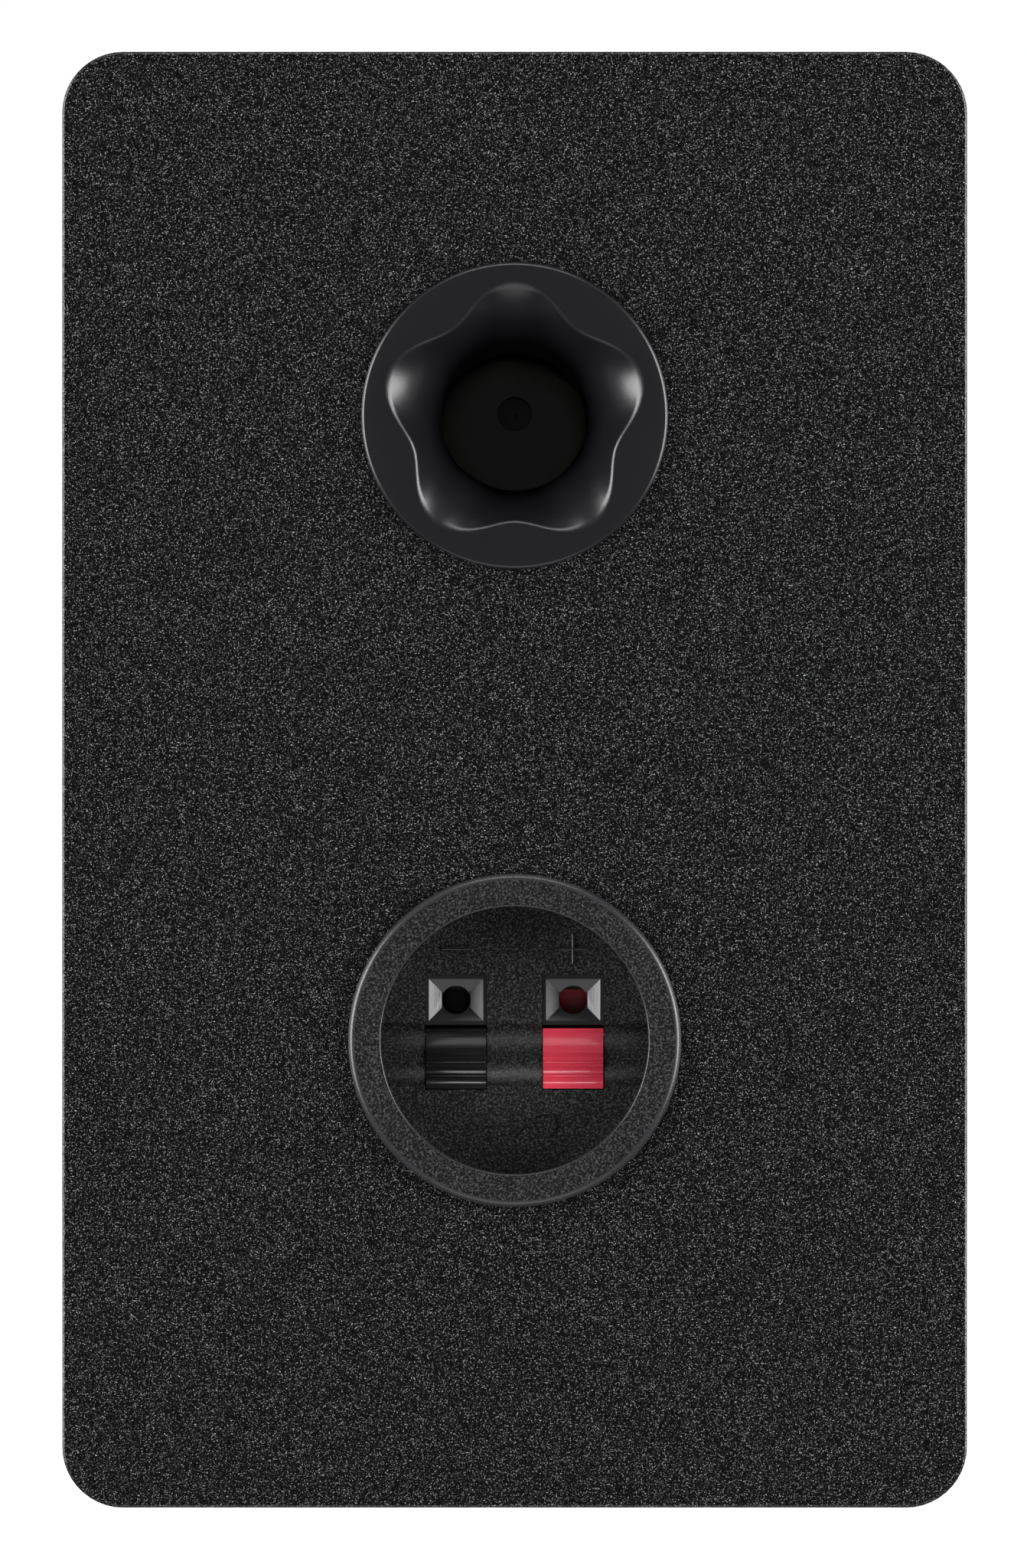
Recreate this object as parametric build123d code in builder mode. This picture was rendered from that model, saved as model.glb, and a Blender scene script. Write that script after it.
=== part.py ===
from build123d import *
import math
import os

os.makedirs("parts", exist_ok=True)

# A small two-way bass-reflex loudspeaker for a shelf: a wooden cabinet with a cloth grille and
# two drivers in front, and a reflex port and a spring-terminal cup in the back.
# Millimetres. +Z is up, the front faces -Y, and the back, with its port and terminals, faces +Y.
# The origin is on the floor plane, in the middle of the whole object's box.

# ---------------------------------------------------------------- driving dimensions
width = 148.0
height = 238.0
cabinet_depth = 208.0  # front of the baffle to the back of the rear panel
corner_radius = 10.0
wall = 12.0
baffle_thickness = 15.0
rear_thickness = 12.0
rear_edge_round = 0.5
front_edge_round = 1.5
slip = 0.1  # all round, where one fixed piece slides into another
fit = 0.05  # all round, where a pin, peg or tube is guided
moving_gap = 0.3  # rest gap between two bodies

grille_margin = 1.0
grille_depth = 8.8
grille_bar = 9.0
cloth_thickness = 0.6
peg_radius = 2.5
peg_reach = 9.0
peg_root = 5.0
socket_radius = 4.5
socket_depth = 12.0
peg_inset_x = 7.5
peg_inset_z = 12.0

port_drop = 59.5  # from the top of the cabinet to the port's axis
port_bore = 12.0
port_tube_wall = 2.0
port_end = 92.0  # how far the tube reaches into the cabinet from the back face
port_flange_lip = 1.7  # how far the flange reaches past the body that it closes
port_flange_proud = 1.2
port_body_wall = 1.25
flare_length = 26.0
flare_widening = 7.45  # mean radius at the mouth over the bore's
flare_lobe_height = 2.2
flare_lobes = 5
flare_lip = 0.5  # radius of the rounding at the mouth
flare_reach = 8.3  # mean depth over which the wall falls to a third of its widening
flare_reach_swing = 2.7  # how much shorter that is at a lobe, and longer between two
socket_length = 9.0
socket_wall = 1.6

cup_z = 76.4
cup_recess_radius = 21.9
cup_wall = 2.6
cup_flange_lip = 2.75
cup_proud = 2.0
cup_chamfer = 1.05
cup_rim_break = 0.25
cup_floor = 8.0  # depth of the recess floor behind the back face
cup_slab = 5.0
trough_top = 2.7
trough_bottom = -7.6
trough_depth = 3.0
gasket_thickness = 1.0
gasket_width = 1.8
terminal_pitch = 19.2
window_width = 10.2
window_top = 10.6
mark_height = 0.4
mark_width = 0.5
mark_size = 4.7
mark_z = 14.9
symbol_z = -13.8
arrow_shaft = 8.0
arrow_tip = -1.6
ring_gap = 1.0
ring_radius = 2.1

lever_side_gap = 0.15
lever_top = 2.15
lever_overhang = 0.4  # how far the pad reaches below the trough
lever_thickness = 1.7
arm_clearance = 2.3  # from the cup's slab to the arm behind the wire hole
arm_top = 8.2
arm_low = -1.5
pad_proud = 0.45
rib_pitch = 1.6
rib_radius = 0.42
pivot_drop = 3.2  # depth of the pivot behind the cup's floor
pivot_z = 1.2
pivot_radius = 0.9
pivot_stub = 1.0
guide_drop = 0.25
wire_hole = 2.35
funnel_rim = 0.65
funnel_depth = 1.15
funnel_slope = 2.1  # how far each funnel face leans in
leaf_thickness = 0.5
tab_reach = 31.0

woofer_z = 82.0
woofer_radius = 61.0
woofer_rim = 8.5  # width of the flange that rests on the baffle
woofer_rebate = 4.0
flange_thickness = 2.5
flange_face = 0.5  # depth of the woofer flange's front face behind the baffle's front
roll_width = 6.0
cone_thickness = 0.8
coil_radius = 12.8  # outside of the woofer's former
woofer_plate_radius = 35.0
woofer_magnet_radius = 40.0
woofer_magnet_length = 14.0
woofer_plate_thickness = 5.0
woofer_plate_face = 43.5  # depth of the top plate's front face
woofer_landing = 31.6  # depth of the seat of the spider

tweeter_drop = 56.0  # from the top of the cabinet to the tweeter's axis
tweeter_radius = 36.0
tweeter_rebate = 3.0
tweeter_rim = 5.0
tweeter_seat = 5.0  # depth of the tweeter's top plate behind the baffle's front
horn_widening = 6.4
dome_radius = 12.5
dome_roll = 1.5  # width of the fabric roll round the dome
dome_height = 5.6
tweeter_plate_radius = 25.0
tweeter_plate_thickness = 3.0
tweeter_magnet_length = 8.0

board_length = 60.0
board_width = 68.0
board_thickness = 1.6
board_front = 96.0  # depth of the board's front edge behind the baffle's front
standoff_height = 6.0
wadding_thickness = 8.0
wadding_front = 90.0
wadding_back = 190.0
lead_radius = 1.1

# ---------------------------------------------------------------- places worked out from them
overall_depth = moving_gap + grille_depth + cabinet_depth + cup_proud
back_y = overall_depth / 2 - cup_proud
front_y = back_y - cabinet_depth
floor_z = wall  # top of the bottom panel
board_z = floor_z + standoff_height
port_z = height - port_drop
tweeter_z = height - tweeter_drop
terminal_x = terminal_pitch / 2
port_body_radius = port_bore + flare_widening + flare_lobe_height + flare_lip + port_body_wall
port_flange_radius = port_body_radius + port_flange_lip
cup_body_radius = cup_recess_radius + cup_wall
cup_flange_radius = cup_body_radius + cup_flange_lip
woofer_cutout = woofer_radius - woofer_rim
woofer_screw_circle = woofer_radius - woofer_rim / 2
roll_outer = woofer_cutout - 4.5
roll_inner = roll_outer - roll_width
tweeter_cutout = tweeter_radius - tweeter_rim
tweeter_boss = tweeter_cutout - 1.0
tweeter_screw_circle = tweeter_radius - tweeter_rim / 2


def behind_front(depth):
    """Y at a depth behind the baffle's front face."""
    return front_y + depth


def from_back(depth):
    """Y at a depth in from the back face."""
    return back_y - depth


def facing(x, y, z):
    """Sketch plane across the speaker: X to the right, Z up, and extrudes run to the front."""
    return Plane(origin=(x, y, z), x_dir=(1, 0, 0), z_dir=(0, -1, 0))


def half_section(z):
    """Sketch plane along the speaker at a driver's axis: local x is Y, local y is the radius."""
    return Plane(origin=(0, 0, z), x_dir=(0, 1, 0), z_dir=(1, 0, 0))


def driver_axis(z):
    return Axis((0, 0, z), (0, 1, 0))


def save(builder, name):
    """Labels a finished piece and writes its STEP file."""
    builder.part.label = name
    export_step(builder.part, f"parts/{name}.step")


def turned(name, z, outline):
    """A piece turned about a driver's axis. outline holds (depth behind the baffle, radius)."""
    with BuildPart() as piece:
        with BuildSketch(half_section(z)):
            with BuildLine():
                Polyline([(behind_front(d), r) for d, r in outline], close=True)
            make_face()
        revolve(axis=driver_axis(z))
    save(piece, name)


def washer(depth, thickness, inner, outer):
    """Outline of a flat ring for turned(): its front face is at depth."""
    return [(depth, inner), (depth + thickness, inner), (depth + thickness, outer), (depth, outer)]


# ================================================================ cabinet
side_length = cabinet_depth - baffle_thickness - rear_thickness
panel_back = from_back(rear_thickness)

outer_corner = {
    "low_left": (-width / 2, 0),
    "low_right": (width / 2, 0),
    "high_right": (width / 2, height),
    "high_left": (-width / 2, height),
}
inner_corner = {
    "low_left": (-width / 2 + wall, wall),
    "low_right": (width / 2 - wall, wall),
    "high_right": (width / 2 - wall, height - wall),
    "high_left": (-width / 2 + wall, height - wall),
}
panel_ends = {
    "left_panel": ("low_left", "high_left"),
    "right_panel": ("high_right", "low_right"),
    "top_panel": ("high_left", "high_right"),
    "bottom_panel": ("low_right", "low_left"),
}

# Four side panels, mitred at the corners, with the outside rounded.
for panel_name, (start, end) in panel_ends.items():
    with BuildPart() as panel:
        with BuildSketch(facing(0, panel_back, 0)):
            with Locations((0, height / 2)):
                RectangleRounded(width, height, corner_radius)
            with BuildLine():
                Polyline(
                    outer_corner[start], outer_corner[end], inner_corner[end], inner_corner[start],
                    close=True,
                )
            make_face(mode=Mode.INTERSECT)
        extrude(amount=side_length)
    save(panel, panel_name)

# The rear panel covers the ends of the four sides and carries the port and the terminal cup.
with BuildPart() as rear_panel:
    with BuildSketch(facing(0, back_y, height / 2)):
        RectangleRounded(width, height, corner_radius)
    extrude(amount=rear_thickness)
    fillet(rear_panel.faces().sort_by(Axis.Y)[-1].edges(), radius=rear_edge_round)
    with BuildSketch(facing(0, back_y, 0)):
        with Locations((0, port_z)):
            Circle(port_body_radius + slip)
        with Locations((0, cup_z)):
            Circle(cup_body_radius + slip)
    extrude(amount=rear_thickness, mode=Mode.SUBTRACT)
    with BuildSketch(facing(0, back_y, cup_z)):
        Circle(cup_body_radius + slip + gasket_width)
    extrude(amount=gasket_thickness, mode=Mode.SUBTRACT)
save(rear_panel, "rear_panel")

peg_places = [
    (side * (width / 2 - peg_inset_x), z)
    for side in (-1, 1)
    for z in (peg_inset_z, height - peg_inset_z)
]
screw_angles = [45, 135, 225, 315]


def on_circle(radius, z):
    """Four screw places on a driver's rim, as (x, z)."""
    return [
        (radius * math.cos(math.radians(a)), z + radius * math.sin(math.radians(a)))
        for a in screw_angles
    ]


woofer_screw_radius = 1.7
tweeter_screw_radius = 1.4
woofer_screw_length = 13.0
tweeter_screw_length = 11.0

# The front baffle: a rebate and a cut-out for each driver, pilot holes and grille sockets.
with BuildPart() as front_baffle:
    with BuildSketch(facing(0, behind_front(baffle_thickness), height / 2)):
        RectangleRounded(width, height, corner_radius)
    extrude(amount=baffle_thickness)
    fillet(front_baffle.faces().sort_by(Axis.Y)[0].edges(), radius=front_edge_round)
    for z, rim, rebate, cutout in (
        (woofer_z, woofer_radius, woofer_rebate, woofer_cutout),
        (tweeter_z, tweeter_radius, tweeter_rebate, tweeter_cutout),
    ):
        with BuildSketch(facing(0, behind_front(rebate), z)):
            Circle(rim + moving_gap)
        extrude(amount=rebate, mode=Mode.SUBTRACT)
        with BuildSketch(facing(0, behind_front(baffle_thickness), z)):
            Circle(cutout)
        extrude(amount=baffle_thickness, mode=Mode.SUBTRACT)
    with BuildSketch(facing(0, behind_front(socket_depth), 0)):
        with Locations(*peg_places):
            Circle(socket_radius)
    extrude(amount=socket_depth, mode=Mode.SUBTRACT)
    with BuildSketch(facing(0, behind_front(flange_face + woofer_screw_length), 0)):
        with Locations(*on_circle(woofer_screw_circle, woofer_z)):
            Circle(woofer_screw_radius + fit)
    extrude(amount=woofer_screw_length, mode=Mode.SUBTRACT)
    with BuildSketch(facing(0, behind_front(tweeter_screw_length), 0)):
        with Locations(*on_circle(tweeter_screw_circle, tweeter_z)):
            Circle(tweeter_screw_radius + fit)
    extrude(amount=tweeter_screw_length, mode=Mode.SUBTRACT)
save(front_baffle, "front_baffle")

# A blanket of wadding lies against the two side walls and the top, behind the woofer.
wadding_bottom = 45.0
with BuildPart() as damping_wadding:
    with BuildSketch(facing(0, behind_front(wadding_back), 0)):
        with Locations((0, (wadding_bottom + height - wall) / 2)):
            Rectangle(width - 2 * wall, height - wall - wadding_bottom)
        with Locations((0, (wadding_bottom + height - wall) / 2 - wadding_thickness)):
            Rectangle(
                width - 2 * (wall + wadding_thickness), height - wall - wadding_bottom,
                mode=Mode.SUBTRACT,
            )
    extrude(amount=wadding_back - wadding_front)
    fillet(
        damping_wadding.faces().filter_by(Axis.Z).sort_by(Axis.Z)[-2].edges().filter_by(Axis.Y),
        radius=wadding_thickness / 2,
    )
save(damping_wadding, "damping_wadding")

# ================================================================ reflex port


def flare_section(depth):
    """Points of one closed five-lobed curve of the flare, at a depth behind its face.

    A small rounded lip turns into a wall that falls to the bore, gently at a lobe and steeply
    between two."""
    rounding = max(0.0, 1 - depth / flare_lip)
    points = []
    steps = flare_lobes * 8
    for i in range(steps):
        angle = 2 * math.pi * i / steps
        wave = math.cos(flare_lobes * angle)
        reach = flare_reach - flare_reach_swing * wave
        end = math.exp(-flare_length / reach)
        narrowing = (math.exp(-depth / reach) - end) / (1 - end)
        radius = port_bore + (flare_widening + flare_lobe_height * wave) * narrowing
        radius += flare_lip * (1 - math.sqrt(1 - rounding**2))
        points.append((radius * math.sin(angle), radius * math.cos(angle)))
    return points


tube_outer = port_bore + port_tube_wall
flare_face = from_back(-port_flange_proud)
flare_stations = 16
flare_crowding = 2.2  # above 1, the stations crowd towards the mouth
spigot_radius = tube_outer + fit + socket_wall

with BuildPart() as port_flare:
    with BuildSketch(half_section(port_z)):
        with BuildLine():
            Polyline(
                [
                    (flare_face, 0),
                    (flare_face, port_flange_radius - 0.4),
                    (flare_face - 0.4, port_flange_radius),
                    (back_y, port_flange_radius),
                    (back_y, port_body_radius),
                    (from_back(rear_thickness), port_body_radius),
                    (flare_face - flare_length + 2, spigot_radius),
                    (flare_face - flare_length - socket_length, spigot_radius),
                    (flare_face - flare_length - socket_length, 0),
                ],
                close=True,
            )
        make_face()
    revolve(axis=driver_axis(port_z))
    for station in range(flare_stations):
        section_depth = flare_length * (station / (flare_stations - 1)) ** flare_crowding
        with BuildSketch(facing(0, flare_face - section_depth, port_z)):
            with BuildLine():
                Spline(*flare_section(section_depth), periodic=True)
            make_face()
    loft(ruled=True, mode=Mode.SUBTRACT)
    with BuildSketch(facing(0, flare_face - flare_length, port_z)):
        Circle(tube_outer + fit)
    extrude(amount=socket_length, mode=Mode.SUBTRACT)
save(port_flare, "port_flare")

with BuildPart() as port_tube:
    with BuildSketch(facing(0, flare_face - flare_length, port_z)):
        Circle(tube_outer)
        Circle(port_bore, mode=Mode.SUBTRACT)
    extrude(amount=port_end - flare_length + port_flange_proud)
save(port_tube, "port_tube")

# ================================================================ terminal cup
floor_y = from_back(cup_floor)
slab_back = cup_floor + cup_slab
trough_chord = (trough_top - trough_bottom) / 2
trough_middle = (trough_top + trough_bottom) / 2
trough_radius = (trough_chord**2 + trough_depth**2) / (2 * trough_depth)
trough_axis_depth = cup_floor + trough_depth - trough_radius
lever_xs = {"negative": terminal_x, "positive": -terminal_x}
lever_width = window_width - 2 * lever_side_gap
lever_bottom = trough_bottom - lever_overhang
guide_bottom = lever_top + moving_gap
pivot_depth = cup_floor + pivot_drop


def lever_plane(x):
    """Sketch plane across a terminal: local x is depth in from the back face, local y is height."""
    return Plane(origin=(x, back_y, cup_z), x_dir=(0, -1, 0), z_dir=(-1, 0, 0))


def trough_depth_at(z, proud=0.0):
    """Depth of the finger trough's surface at a height from the cup's centre."""
    radius = trough_radius - proud
    return trough_axis_depth + math.sqrt(radius**2 - (z - trough_middle) ** 2)


with BuildPart() as terminal_cup:
    with BuildSketch(half_section(cup_z)):
        with BuildLine():
            Polyline(
                [
                    (back_y + cup_proud, 0),
                    (back_y + cup_proud, cup_flange_radius - cup_chamfer),
                    (back_y + cup_proud - cup_chamfer, cup_flange_radius),
                    (back_y, cup_flange_radius),
                    (back_y, cup_body_radius),
                    (from_back(slab_back), cup_body_radius),
                    (from_back(slab_back), 0),
                ],
                close=True,
            )
        make_face()
    revolve(axis=driver_axis(cup_z))
    with BuildSketch(facing(0, back_y + cup_proud, cup_z)):
        Circle(cup_recess_radius)
    extrude(amount=cup_proud + cup_floor, mode=Mode.SUBTRACT)
    rim_face = terminal_cup.faces().sort_by(Axis.Y)[-1]
    chamfer(rim_face.edges().sort_by(SortBy.RADIUS)[0], length=cup_rim_break)
    # finger trough across the floor
    with BuildSketch(lever_plane(0)):
        with Locations((trough_axis_depth, trough_middle)):
            Circle(trough_radius)
        with Locations((cup_floor / 2, trough_middle)):
            Rectangle(cup_floor, 2 * trough_radius, mode=Mode.SUBTRACT)
    extrude(amount=cup_recess_radius, both=True, mode=Mode.SUBTRACT)
    for x in lever_xs.values():
        with BuildSketch(lever_plane(x)):
            with BuildLine():
                Polyline(
                    [
                        (cup_floor - 1, window_top),
                        (slab_back + 1, window_top),
                        (slab_back + 1, lever_bottom - 0.85),
                        (cup_floor + 2.2, lever_bottom - 0.7),
                        (cup_floor, lever_bottom - 0.2),
                        (cup_floor - 1, lever_bottom - 0.2),
                    ],
                    close=True,
                )
            make_face()
        extrude(amount=window_width / 2, both=True, mode=Mode.SUBTRACT)
        with BuildSketch(lever_plane(x)):
            with Locations((pivot_depth, pivot_z)):
                Circle(pivot_radius + fit)
        extrude(amount=lever_width / 2 + pivot_stub + slip, both=True, mode=Mode.SUBTRACT)
    # raised polarity marks and a raised arrow pointing at a ring
    with BuildSketch(facing(0, floor_y + mark_height, cup_z)):
        with Locations((terminal_x, mark_z), (-terminal_x, mark_z)):
            Rectangle(mark_size, mark_width)
        with Locations((-terminal_x, mark_z)):
            Rectangle(mark_width, mark_size)
        with Locations((arrow_tip + arrow_shaft / 2, symbol_z)):
            Rectangle(arrow_shaft, mark_width)
        with Locations((arrow_tip - ring_gap - ring_radius, symbol_z)):
            Circle(ring_radius)
            Circle(ring_radius - mark_width, mode=Mode.SUBTRACT)
        for lean in (-1, 1):
            barb = Location((arrow_tip + 1.0, symbol_z + lean * 1.0), lean * 45)
            with Locations(barb):
                Rectangle(2.8, mark_width)
    extrude(amount=mark_height)
save(terminal_cup, "terminal_cup")

with BuildPart() as terminal_gasket:
    with BuildSketch(facing(0, back_y, cup_z)):
        Circle(cup_body_radius + gasket_width)
        Circle(cup_body_radius + slip, mode=Mode.SUBTRACT)
    extrude(amount=gasket_thickness)
save(terminal_gasket, "terminal_gasket")

chamber_width = window_width + 4 * slip
chamber_floor = lever_bottom - 0.45
chamber_length = 9.0
block_wall = 1.5
block_back = slab_back + chamber_length + 2.0
block_width = terminal_pitch + chamber_width + 2 * block_wall
block_height = window_top - chamber_floor + 2 * block_wall
block_middle = (window_top + chamber_floor) / 2
tab_width = 4.8

# The block behind the cup's floor: a chamber for each lever and slots for the solder tabs.
with BuildPart() as terminal_block:
    with BuildSketch(facing(0, from_back(slab_back), cup_z + block_middle)):
        RectangleRounded(block_width, block_height, 1.5)
    extrude(amount=block_back - slab_back)
    with BuildSketch(facing(0, from_back(slab_back), cup_z + block_middle)):
        with Locations((terminal_x, 0), (-terminal_x, 0)):
            Rectangle(chamber_width, window_top - chamber_floor)
    extrude(amount=chamber_length, mode=Mode.SUBTRACT)
    with BuildSketch(facing(0, from_back(slab_back), cup_z + chamber_floor + leaf_thickness / 2)):
        with Locations((terminal_x, 0), (-terminal_x, 0)):
            Rectangle(tab_width, leaf_thickness)
    extrude(amount=block_back - slab_back, mode=Mode.SUBTRACT)
save(terminal_block, "terminal_block")

arm_front = slab_back + arm_clearance
arm_back = arm_front + lever_thickness
leaf_head = arm_back + moving_gap + slip
leaf_foot = leaf_head + 1.4
leaf_top = window_top - 0.7
guide_middle = (window_top + guide_bottom) / 2
funnel_width = window_width - 2 * funnel_rim
funnel_height = window_top - guide_bottom - 2 * funnel_rim
pad_back = trough_depth_at(trough_middle) + lever_thickness

for pole_name, x in lever_xs.items():
    # wire guide: a four-sided funnel down to a round hole
    with BuildPart() as wire_guide:
        with BuildSketch(facing(x, from_back(cup_floor + guide_drop), cup_z)):
            with Locations((0, guide_middle)):
                Rectangle(window_width, window_top - guide_bottom)
        extrude(amount=cup_slab - guide_drop)
        for funnel_end, lean in ((0.0, 0.0), (funnel_depth, funnel_slope)):
            with BuildSketch(facing(x, from_back(cup_floor + guide_drop + funnel_end), cup_z)):
                with Locations((0, guide_middle)):
                    Rectangle(funnel_width - 2 * lean, funnel_height - 2 * lean)
        loft(mode=Mode.SUBTRACT)
        with BuildSketch(facing(x, from_back(cup_floor + guide_drop), cup_z)):
            with Locations((0, guide_middle)):
                Circle(wire_hole)
        extrude(amount=cup_slab, mode=Mode.SUBTRACT)
    save(wire_guide, f"{pole_name}_wire_guide")

    # lever: a ribbed concave finger pad, an arm behind the wire hole and two pivot stubs
    with BuildPart() as lever:
        with BuildSketch(lever_plane(x)):
            with BuildLine():
                pad = ThreePointArc(
                    (trough_depth_at(lever_top - 0.3, pad_proud), lever_top),
                    (trough_depth_at(trough_middle, pad_proud), trough_middle),
                    (cup_floor + 0.1, lever_bottom),
                )
                Polyline(
                    pad @ 1,
                    (cup_floor + 0.1 + lever_thickness, lever_bottom),
                    (pad_back, trough_middle - 3.0),
                    (pad_back, arm_low),
                    (arm_back, arm_low),
                    (arm_back, arm_top),
                    (arm_front, arm_top),
                    (arm_front, guide_bottom - 0.65),
                    (pivot_depth + 0.8, guide_bottom - 0.65),
                    (pivot_depth, lever_top),
                    pad @ 0,
                )
            make_face()
        extrude(amount=lever_width / 2, both=True)
        with BuildSketch(lever_plane(x)):
            with Locations((pivot_depth, pivot_z)):
                Circle(pivot_radius)
        extrude(amount=lever_width / 2 + pivot_stub, both=True)
        with BuildSketch(lever_plane(x)):
            for rib in range(4):
                rib_z = trough_middle + 1.85 - rib * rib_pitch
                with Locations((trough_depth_at(rib_z, pad_proud) + 0.1, rib_z)):
                    Circle(rib_radius)
        extrude(amount=lever_width / 2 - 0.3, both=True)
    save(lever, f"{pole_name}_lever")

    # contact: a sprung leaf behind the arm, with its foot running back as a solder tab
    with BuildPart() as contact:
        with BuildSketch(lever_plane(x)):
            with BuildLine():
                Polyline(
                    [
                        (leaf_foot, chamber_floor),
                        (tab_reach, chamber_floor),
                        (tab_reach, chamber_floor + leaf_thickness),
                        (leaf_foot + leaf_thickness, chamber_floor + leaf_thickness),
                        (leaf_head + leaf_thickness, leaf_top),
                        (leaf_head, leaf_top),
                        (leaf_foot, chamber_floor + 2 * leaf_thickness),
                    ],
                    close=True,
                )
            make_face()
        extrude(amount=tab_width / 2, both=True)
    save(contact, f"{pole_name}_contact")

# ================================================================ woofer
flange_back = flange_face + flange_thickness
basket_wall = 1.5
basket_throat = 29.5
coil_gap = 0.5
former_wall = 0.2
winding = 0.5
pole_radius = coil_radius - former_wall - coil_gap
plate_hole = coil_radius + winding + coil_gap + 0.1
basket_bore = plate_hole + 1.1
basket_radius = woofer_cutout - 1.5
spider_outer = 35.0
landing_radius = spider_outer + 1.0
magnet_face = woofer_plate_face + woofer_plate_thickness
yoke_face = magnet_face + woofer_magnet_length

with BuildPart() as woofer_basket:
    with BuildSketch(half_section(woofer_z)):
        with BuildLine():
            Polyline(
                [
                    (behind_front(depth), radius)
                    for depth, radius in (
                        (flange_face, roll_outer),
                        (flange_face, woofer_radius),
                        (flange_back, woofer_radius),
                        (flange_back, basket_radius),
                        (7.0, basket_radius),
                        (woofer_landing + basket_wall, landing_radius + basket_wall),
                        (woofer_landing + basket_wall, basket_throat),
                        (woofer_plate_face, basket_throat),
                        (woofer_plate_face, basket_bore),
                        (woofer_plate_face - basket_wall, basket_bore),
                        (woofer_plate_face - basket_wall, basket_throat - basket_wall),
                        (woofer_landing, basket_throat - basket_wall),
                        (woofer_landing, landing_radius),
                        (7.0, basket_radius - basket_wall),
                        (flange_back, basket_radius - basket_wall),
                        (flange_back, roll_outer),
                    )
                ],
                close=True,
            )
        make_face()
    revolve(axis=driver_axis(woofer_z))
    # windows between the basket's six legs
    window_deep = woofer_landing - 2.0
    window_shallow = 9.0
    with BuildSketch(facing(0, behind_front(window_deep), woofer_z)):
        with PolarLocations(0, 6):
            with BuildLine():
                Polyline(
                    [
                        (radius * math.cos(math.radians(angle)), radius * math.sin(math.radians(angle)))
                        for radius, angle in ((30, -18), (70, -18), (70, 18), (30, 18))
                    ],
                    close=True,
                )
            make_face()
    extrude(amount=window_deep - window_shallow, mode=Mode.SUBTRACT)
    with BuildSketch(facing(0, behind_front(flange_back), 0)):
        with Locations(*on_circle(woofer_screw_circle, woofer_z)):
            Circle(woofer_screw_radius + fit)
    extrude(amount=flange_thickness, mode=Mode.SUBTRACT)
save(woofer_basket, "woofer_basket")

with BuildPart() as woofer_gasket:
    with BuildSketch(facing(0, behind_front(woofer_rebate), woofer_z)):
        Circle(woofer_radius - 0.5)
        Circle(woofer_cutout + 0.5, mode=Mode.SUBTRACT)
    extrude(amount=woofer_rebate - flange_back)
    with BuildSketch(facing(0, behind_front(woofer_rebate), 0)):
        with Locations(*on_circle(woofer_screw_circle, woofer_z)):
            Circle(woofer_screw_radius + fit)
    extrude(amount=woofer_rebate - flange_back, mode=Mode.SUBTRACT)
save(woofer_gasket, "woofer_gasket")

turned(
    "woofer_top_plate", woofer_z,
    washer(woofer_plate_face, woofer_plate_thickness, plate_hole, woofer_plate_radius),
)
turned(
    "woofer_magnet", woofer_z,
    washer(magnet_face, woofer_magnet_length, pole_radius + 5.0, woofer_magnet_radius),
)
vent_radius = 4.0
turned(
    "woofer_yoke", woofer_z,
    [
        (woofer_plate_face - 0.5, vent_radius),
        (woofer_plate_face - 0.5, pole_radius),
        (yoke_face, pole_radius),
        (yoke_face, woofer_plate_radius),
        (yoke_face + woofer_plate_thickness, woofer_plate_radius),
        (yoke_face + woofer_plate_thickness, vent_radius),
    ],
)

former_front = 25.0
former_back = woofer_plate_face + 7.0
turned(
    "woofer_former", woofer_z,
    washer(former_front, former_back - former_front, coil_radius - former_wall, coil_radius),
)
winding_length = 9.0
turned(
    "woofer_voice_coil", woofer_z,
    washer(former_back - winding_length, winding_length, coil_radius, coil_radius + winding),
)

# The cone is a shallow flared shell from the former's neck to the inner edge of the surround.
# Its front is an arc, so the dust cap's foot is found on that arc.
cone_rim = 1.3
cone_neck = 27.0
cone_bow = 2.4
cone_waist = (roll_inner + coil_radius) / 2
chord_depth = cone_neck - cone_thickness - cone_rim
chord_radius = roll_inner - coil_radius
chord_length = math.hypot(chord_depth, chord_radius)
bow_radius = (chord_length**2 / 4 + cone_bow**2) / (2 * cone_bow)
bow_reach = bow_radius - cone_bow
chord_middle = (cone_rim + chord_depth / 2, coil_radius + chord_radius / 2)
bow_centre = (
    chord_middle[0] - bow_reach * chord_radius / chord_length,
    chord_middle[1] - bow_reach * chord_depth / chord_length,
)


def cone_depth(radius):
    """Depth of the cone's front face behind the baffle at a radius."""
    return bow_centre[0] + math.sqrt(bow_radius**2 - (radius - bow_centre[1]) ** 2)


with BuildPart() as woofer_cone:
    with BuildSketch(half_section(woofer_z)):
        with BuildLine():
            front_curve = ThreePointArc(
                (behind_front(cone_neck - cone_thickness), coil_radius),
                (behind_front(cone_depth(cone_waist)), cone_waist),
                (behind_front(cone_rim), roll_inner),
            )
            Line(front_curve @ 1, (behind_front(cone_rim + cone_thickness), roll_inner))
            back_curve = ThreePointArc(
                (behind_front(cone_rim + cone_thickness), roll_inner),
                (behind_front(cone_depth(cone_waist) + cone_thickness + 0.2), cone_waist),
                (behind_front(cone_neck + 0.4), coil_radius),
            )
            Line(back_curve @ 1, front_curve @ 0)
        make_face()
    revolve(axis=driver_axis(woofer_z))
save(woofer_cone, "woofer_cone")

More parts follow.
